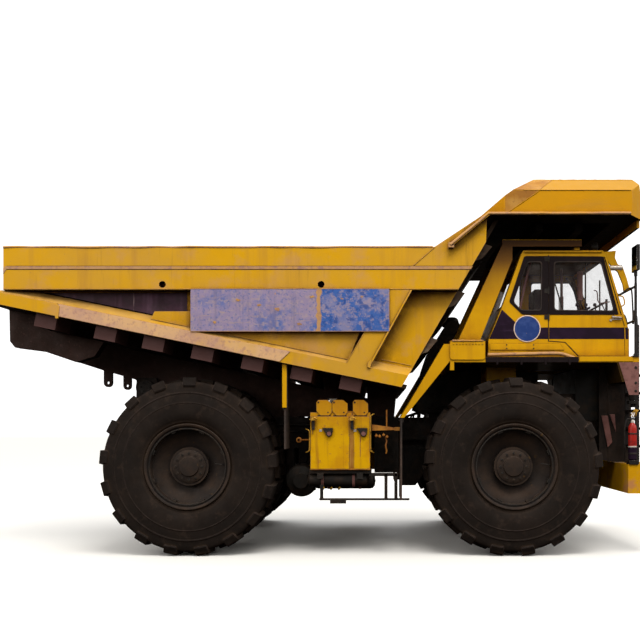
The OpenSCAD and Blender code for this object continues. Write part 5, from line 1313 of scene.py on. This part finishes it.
tankLow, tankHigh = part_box("valve_tank")
tankFace = tankLow.y
tank = {"doorLow": 1.315, "doorHigh": 2.1, "coverZ": 2.23, "gaugeZ": 1.845, "valveZ": 2.05, "barY": -2.32,
        "covers": (0.045, 0.282, 0.59), "gauges": (0.115, 0.63), "valves": (-0.115, 0.465)}
bottles = ((-0.22, 0.72, -2.2, 1.14, 0.105), (-0.16, 0.82, -1.85, 1.1, 0.125))  # from X to X, Y, Z, radius


def tankPanels():                              # covers, doors and rust on the tank's face
    mesh, y, middle = bmesh.new(), tankFace, tank["coverZ"]
    for x in tank["covers"]:                   # covers with cut corners
        cover = [(x + u, middle + v) for u, v in (
            (-0.112, 0.08), (-0.085, 0.116), (0.05, 0.116), (0.116, 0.06), (0.116, -0.07), (0.075, -0.116),
            (-0.05, -0.116), (-0.112, -0.05))]
        addPlate(mesh, cover, y + 0.004, y - 0.014)
        addBolt(mesh, (x - 0.085, y - 0.014, 2.31), (0, -1, 0), 0.018, 1)
        addBolt(mesh, (x + 0.06, y - 0.014, 2.16), (0, -1, 0), 0.013, 1)
        addBlock(mesh, (x - 0.1, y - 0.006, 2.1), (x + 0.1, y + 0.001, 2.118), 1)
    for x0, x1 in ((tankLow.x + 0.004, 0.42), (0.497, tankHigh.x - 0.004)):    # the two doors
        addBlock(mesh, (x0, y - 0.008, tank["doorLow"]), (x1, y + 0.001, tank["doorHigh"]))
    # strip between the doors in the shade tone: painted shade
    addBlock(mesh, (0.428, y - 0.003, 1.31), (0.488, y + 0.001, 2.12), 2)
    for x, z0, z1 in ((0.585, 1.5, 1.83), (0.59, 1.72, 1.8), (-0.13, 1.83, 1.95), (0.46, 1.33, 1.62)):
        addBlock(mesh, (x, y - 0.0092, z0), (x + 0.008, y - 0.005, z1), 3)     # rust runs
    addWeld(mesh, (tankLow.x, y - 0.001, 1.304), (tankHigh.x, y - 0.001, 1.304), 0.008, 3)
    makePiece("tank_panels", mesh, "chassis", "tankYellow machineIron canopyShade rustOrange",
              0.002)


def tankFittings(dark, brassy):                # gauges in dark mounts, valves with their stems, grips
    y, stemY, z = tankFace, tankFace - 0.05, tank["valveZ"]
    for x in tank["gauges"]:
        addPlate(dark, [(x - 0.095, 1.925), (x + 0.065, 1.925), (x + 0.06, 1.86), (x + 0.03, 1.8),
                        (x - 0.02, 1.8), (x - 0.048, 1.86)], y - 0.006, y - 0.034)
        gauge = spotAt(x + 0.008, y - 0.034, tank["gaugeZ"], "X")
        addLathe(dark, [(0.043, -0.01), (0.045, 0.014), (0.038, 0.018), (0.033, 0.008)], gauge, 32)
        addLathe(dark, [(0.034, 0.008), (0.001, 0.01)], gauge, 32, 1)
        addBlock(brassy, (x - 0.14, y - 0.012, 1.87), (x - 0.1, y - 0.004, 1.905), 1)
    for x in tank["valves"]:
        for height, size in ((z + 0.005, 0.042), (z + 0.035, 0.026)):
            addRod(brassy, (x, stemY, height - 0.016), (x, stemY, height + 0.012), size, 8)
        addHose(brassy, [(x - 0.05, stemY, z), (x + 0.01, y - 0.06, z + 0.035),
                         (x + 0.055, stemY, z + 0.01)], 4, 0.012, 8)
        addRod(dark, (x, y - 0.04, 1.93), (x, y - 0.04, 2.07), 0.024, 14)
        addRod(dark, (x, y - 0.001, z), (x, stemY, z), 0.02, 12)
        addBlock(dark, (x - 0.02, y - 0.06, 1.9), (x + 0.024, y - 0.02, 1.94))
    for name, foot, ends in (
            ("rear", tankLow.x, ((-0.07, 1.91), (-0.03, 1.895), (-0.012, 1.85),
                                 (-0.012, 1.62), (-0.03, 1.575), (-0.07, 1.56))),
            ("front", tankHigh.x, ((0.06, 2.14), (0.02, 2.115), (0.008, 2.07),
                                   (0.008, 1.62), (0.02, 1.58), (0.05, 1.555)))):
        bar = bmesh.new()
        depths = (0.02, -0.01, -0.015, -0.015, -0.01, 0.02)
        addHose(bar, [(foot + dx, y + dy, height) for (dx, height), dy in zip(ends, depths)], 6, 0.0095, 10)
        makePiece("tank_grip_" + name, bar, "chassis", "brass")


def tankUnderside(dark, brassy):               # cradle, air bottles, canister and the low bar with its box
    barY = tank["barY"]
    addBlock(dark, (tankLow.x - 0.02, tankFace + 0.05, 1.24), (tankHigh.x + 0.02, -1.35, 1.3))
    for x in (tankLow.x + 0.1, tankHigh.x - 0.2):
        addBlock(dark, (x, tankFace + 0.02, 1.16), (x + 0.09, -0.66, 1.25))
    for x0, x1, y, z, r in bottles:
        long, end = x1 - x0, [(0.001, 0), (r * 0.6, 0.012), (r * 0.92, 0.04), (r, 0.08)]
        addLathe(dark, end + [(wide, long - deep) for wide, deep in end[::-1]], spotAt(x0, y, z, "Y"), 32)
        for share in (0.25, 0.75):
            addLathe(dark, [(r, -0.02), (r + 0.006, -0.018), (r + 0.006, 0.018), (r, 0.02)],
                     spotAt(x0 + share * long, y, z, "Y"), 32, 1)
    addLathe(dark, [(0.001, 0), (0.16, 0.01), (0.23, 0.04), (0.26, 0.1), (0.26, 0.45), (0.23, 0.51),
                    (0.16, 0.54), (0.12, 0.56), (0.12, 0.6), (0.001, 0.605)],
             spotAt(-0.36, -1.2, 1.09, "X"), 40)
    addRod(dark, (-0.03, barY, 0.852), (1.33, barY, 0.852), 0.017, 12)
    addBlock(dark, (0.133, -2.36, 0.79), (0.373, -2.28, 0.848))
    for x, top in ((-0.02, 1.07), (0.95, 1.24), (1.1, 1.24)):
        addBlock(dark, (x, barY - 0.02, 0.85), (x + 0.05, barY + 0.02, top))
    addBlock(dark, (0.72, barY - 0.02, 1.2), (1.16, barY + 0.02, 1.25))
    for x in (0.02, 0.14, 0.26):
        addRod(brassy, (x, -2.31, 1.0), (x + 0.02, -2.33, 1.03), 0.016, 8)


def valveTank():
    dark, brassy = bmesh.new(), bmesh.new()
    tankPanels()
    tankFittings(dark, brassy)
    tankUnderside(dark, brassy)
    makePiece("tank_dark_parts", dark, "chassis", "machineIron padBrown", 0.003)
    makePiece("tank_valves", brassy, "chassis", "brass paleSteel", 0.001)


def fuelTank():                                # straps, cap, gauge and steps
    low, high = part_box("fuel_tank")
    y = high.y
    mesh = bmesh.new()
    for x in (-0.05, 0.65):                    # straps
        addBlock(mesh, (x - 0.04, low.y + 0.6, 2.158), (x + 0.04, y + 0.006, 2.168), 1)
        addBlock(mesh, (x - 0.04, y - 0.001, 1.12), (x + 0.04, y + 0.008, 2.165), 1)
    addLathe(mesh, [(0.001, 0.06), (0.07, 0.055), (0.098, 0.03), (0.1, -0.01), (0.09, -0.03)],
             spotAt(-0.05, 2.0, 2.25), 32, 1)
    addBlock(mesh, (0.3, y - 0.001, 1.3), (0.34, y + 0.02, 1.9), 2)
    for x in (0.05, 0.55):
        addWeld(mesh, (x, y, 1.13), (x, y, 2.13), 0.005)
    for z in (1.25, 1.5, 1.75):
        addBlock(mesh, (0.78, y - 0.001, z), (0.93, y + 0.05, z + 0.03), 1)
    makePiece("fuel_tank_straps", mesh, "chassis", "cabYellow machineIron lampLens", 0.003)


def airCleaners():                             # clamps, faces, ducts and louvred intakes
    mesh = bmesh.new()
    for y in (1.15, 1.8):
        for x, r in ((2.46, 0.258), (2.8, 0.256), (3.14, 0.256)):
            lathe = spotAt(x, y, 3.34, "Y")
            addLathe(mesh, [(0.248, -0.02), (r, -0.018), (r + 0.003, 0), (r, 0.018), (0.248, 0.02)], lathe,
                     48, 1)
            addBlock(mesh, (x - 0.03, y - 0.03, 3.59), (x + 0.03, y + 0.03, 3.62), 1)
        face = spotAt(3.3, y, 3.34, "Y")
        addLathe(mesh, [(0.25, 0), (0.24, 0.02), (0.2, 0.03), (0.1, 0.032), (0.09, 0.045), (0.001, 0.046)],
                 face, 48)
        back = spotAt(2.4, y, 3.34, "Y", -90)
        addLathe(mesh, [(0.25, 0), (0.18, 0.05), (0.13, 0.06), (0.13, 0.16), (0.12, 0.165)], back, 48)
        addPlate(mesh, [(1.72, 3.002), (1.84, 3.36), (2.19, 3.92), (2.24, 3.96), (2.4, 3.96), (2.43, 3.9),
                        (2.43, 3.002)], y - 0.22, y + 0.22, 1)
        for k in range(6):                     # louvres of the intake's housing
            addBlock(mesh, (1.98 + 0.02 * k, y - 0.232, 3.2 + 0.1 * k), (2.38, y - 0.218, 3.235 + 0.1 * k),
                     1)
        addLathe(mesh, [(0.001, 0.09), (0.07, 0.085), (0.11, 0.06), (0.13, 0.02), (0.13, -0.02)],
                 spotAt(2.3, y, 3.97), 32, 1)
    makePiece("air_cleaner_clamps", mesh, "chassis", "cabYellow machineIron", 0.002)


rusty = {"y": -2.32, "tapZ": 1.745}


def framePipes():                              # pipes, brackets, hoses and plates along the frame
    mesh = bmesh.new()
    for side in bothSides:
        nearY, farY = side * 0.682, side * 0.702
        addHose(mesh, [(-2.7, nearY, 2.0), (-1.0, nearY, 1.98), (0.6, nearY, 1.95), (1.8, farY, 1.85),
                       (2.3, farY, 1.9)], 8, 0.022, 10)
        addHose(mesh, [(-2.7, nearY, 1.9), (-0.7, nearY, 1.86), (1.9, farY, 1.75)], 10, 0.016, 10)
        for x in (-2.6, -1.2, 0.0, 1.2):
            addBolts(mesh, (x, side * 0.65, 1.68), (x + 0.3, side * 0.65, 1.68), 3, (0, side, 0), 0.034)
        addBlock(mesh, (1.25, side * 0.66, 1.72), (1.75, side * 0.86, 2.0))
        for k in range(4):
            addHose(mesh, [(1.3 + k * 0.12, side * 0.8, 1.98),
                           (1.32 + k * 0.12, side * 0.82, 2.1 + 0.04 * k),
                           (1.6 + k * 0.1, side * 0.84, 2.2), (1.95 + k * 0.08, side * 0.82, 2.28),
                           (2.2, side * 0.78, 2.3)], 6, 0.018, 9)
        for k in range(9):                     # clamps of the suspension cylinder
            z = 1.98 + k * 0.012
            addRod(mesh, (frontAxleX, side * 1.5, z), (frontAxleX, side * 1.5, z + 0.005), 0.16, 28)
        inner, outer = side * 0.715, side * 0.727
        addPlate(mesh, [(1.22, 0.94), (1.5, 0.94), (1.74, 1.3), (1.74, 1.62), (1.22, 1.62)], inner, outer)
        addBolts(mesh, (1.28, outer, 1.58), (1.68, outer, 1.58), 5, (0, side, 0), 0.026)
        addPlate(mesh, [(1.5, 2.24), (1.82, 2.12), (1.84, 2.86), (1.62, 2.86)], inner, outer)
    addBlock(mesh, (0.8, -1.4, 1.2), (1.19, -0.7, 1.92))       # valve block between tank and wheel
    addBlock(mesh, (0.84, -1.42, 1.92), (1.05, -0.9, 1.97))
    return mesh


def rustyFittings():                           # taps, pipe and straps between the tank and the front wheel
    mesh = bmesh.new()
    y, tapZ = rusty["y"], rusty["tapZ"]
    for x, z in ((0.83, 1.81), (0.88, 1.8), (0.94, 1.82), (0.99, 1.79)):
        addLathe(mesh, [(0.001, 0.03), (0.018, 0.026), (0.024, 0), (0.02, -0.02)], spotAt(x, y, z, "X"), 16)
        addRod(mesh, (x, -2.31, z), (x, -2.2, z + 0.02), 0.011, 8)
    addHose(mesh, [(0.97, -2.3, 1.8), (0.985, y, 1.72), (0.97, -2.33, 1.66), (0.985, -2.33, 1.58),
                   (0.975, y, 1.54)], 5, 0.013, 8)
    addPlate(mesh, [(0.76, 1.98), (1.12, 1.93), (1.12, 1.895), (0.76, 1.885)], -2.36, -2.33)
    addLathe(mesh, [(0.022, 0.03), (0.04, 0.026), (0.044, 0), (0.036, -0.02), (0.02, 0.0)],
             spotAt(-0.34, -2.3, tapZ, "X"), 18)
    addRod(mesh, (-0.34, -2.3, tapZ), (-0.2, -2.2, tapZ), 0.012, 10)
    addTube(mesh, [(0.985, -2.34, 1.94), (0.985, -2.34, 2.2)], 0.012, 8)
    addBlock(mesh, (1.1, -2.37, 1.885), (1.185, -2.32, 1.94))
    return mesh


def chassisDetails():
    pipes, fittings = framePipes(), rustyFittings()
    makePiece("frame_pipes", pipes, "chassis", "machineIron", 0.002)
    makePiece("flap_stays", fittings, "chassis", "rustOrange", 0.003)
    mesh = bmesh.new()
    for side in bothSides:                     # clamp strips on the front mud flaps
        addBlock(mesh, (1.215, side * 1.67, 2.0), (1.232, side * 2.43, 2.07))
        for x, direction in ((1.232, 1), (1.19, -1)):
            addBolts(mesh, (x, side * 1.75, 2.035), (x, side * 2.35, 2.035), 5, (direction, 0, 0), 0.026)
    makePiece("guard_clamps", mesh, "chassis", "railBlack", 0.002)
    mesh = bmesh.new()                         # bolt circles and breather on the axle's housing
    for side in bothSides:
        for y, radius, count, size in ((0.851, 0.36, 20, 0.03), (0.16, 0.42, 14, 0.034)):
            addBoltCircle(mesh, spotAt(rearAxleX, side * y, axleZ, "X"), radius, count, (0, side, 0), size)
    addRod(mesh, (rearAxleX, 0, axleZ + 0.44), (rearAxleX, 0, axleZ + 0.5), 0.025, 12)
    makePiece("axle_bolts", mesh, "chassis", "machineIron")


def hoistDetails():                            # gland, tie rods and pipe of each barrel
    for end, side in sideNames:
        base, top = Vector((-0.35, side * 0.79, 1.0)), Vector((0.1, side * 0.79, 2.48))
        along = (top - base).normalized()
        head = base + along * 1.33
        mesh = bmesh.new()
        addRod(mesh, head - along * 0.05, head + along * 0.02, 0.125, 32)
        for k in range(8):
            angle = 2 * math.pi * k / 8
            across = Vector((math.cos(angle) * along.z, math.sin(angle), -math.cos(angle) * along.x))
            addRod(mesh, head + across * 0.105 - along * 0.06, head + across * 0.105 + along * 0.03, 0.011,
                   6)
        addHose(mesh, [base + along * 0.2 + Vector((0.12, 0, 0)), base + along * 0.5 + Vector((0.15, 0, 0)),
                       base + along * 1.2 + Vector((0.14, 0, 0))], 6, 0.014, 8)
        for share in (0.25, 0.7, 1.1):
            addBlock(mesh, base + along * share + Vector((0.09, -0.03, -0.02)),
                     base + along * share + Vector((0.17, 0.03, 0.02)))
        makePiece("hoist_gland_" + end, mesh, "hoist_barrel_" + end, "machineIron", 0.002)


valveTank()
fuelTank()
airCleaners()
chassisDetails()
hoistDetails()
print("tanks and chassis dressed")


# camera, floor and lights

def area(name, at, look, wide, power, colour):
    light = bpy.data.lights.new(name, "AREA")
    light.shape, light.size, light.size_y = "RECTANGLE", wide[0], wide[1]
    light.energy, light.color = power, colour
    lamp = bpy.data.objects.new(name, light)
    bpy.context.scene.collection.objects.link(lamp)
    lamp.location = at
    lamp.rotation_euler = (Vector(look) - Vector(at)).to_track_quat("-Z", "Y").to_euler()


def floorMaterial():
    material, tree, shader = newMaterial("floorPale")
    path = addNode(tree, "LightPath")
    seen = addNode(tree, "Math", {0: path.outputs["Is Camera Ray"], 1: path.outputs["Is Transmission Ray"]},
                   operation="MAXIMUM")
    colour = mixTint(tree, seen.outputs[0], tint("#2c2722"), tint("#fbfaf8"))
    tree.links.new(colour, shader.inputs["Base Color"])
    shader.inputs["Roughness"].default_value = 0.95
    shader.inputs["Specular IOR Level"].default_value = 0.1
    return material


def makeStage():
    mesh = bmesh.new()
    bmesh.ops.create_grid(mesh, x_segments=1, y_segments=1, size=120)
    data = bpy.data.meshes.new("floor")
    mesh.to_mesh(data)
    mesh.free()
    data.materials.append(floorMaterial())
    floor = bpy.data.objects.new("floor", data)
    bpy.context.scene.collection.objects.link(floor)
    world = bpy.data.worlds.new("studio")
    bpy.context.scene.world = world
    world.use_nodes = True
    tree = world.node_tree
    ground = tree.nodes["Background"]
    sky = mixTint(tree, limits(tree, axisValue(tree, "Z", "Generated"), -0.05, 0.75), tint("#6f6862"),
                  tint("#fffdf8"))
    white = mixTint(tree, addNode(tree, "LightPath").outputs["Is Camera Ray"], sky, (1, 1, 1, 1))
    tree.links.new(white, ground.inputs["Color"])
    ground.inputs["Strength"].default_value = 1.3
    area("key", (3, -11, 18), (0, 0, 3), (10, 6), 1850, (1, 0.965, 0.9))
    area("side", (-12, -12, 7), (0, 0, 3), (6, 4), 350, (1, 0.95, 0.9))
    area("front", (15, -6, 8), (3, 0, 3), (6, 5), 350, (1, 0.97, 0.94))
    area("back", (0, 14, 12), (0, 0, 4), (12, 5), 900, (0.95, 0.97, 1))


def makeCamera():
    lens = bpy.data.cameras.new("camera")
    lens.sensor_width, lens.lens = 36, 45.225
    lens.shift_x, lens.shift_y = -0.086, 0.164
    camera = bpy.data.objects.new("camera", lens)
    bpy.context.scene.collection.objects.link(camera)
    camera.location = (0.81, -14.45, 1.972)
    camera.rotation_euler = (math.radians(90), 0, 0)
    scene = bpy.context.scene
    scene.camera = camera
    scene.render.resolution_x = scene.render.resolution_y = 640
    scene.view_settings.view_transform = "Standard"


makeStage()
makeCamera()
print("stage set")
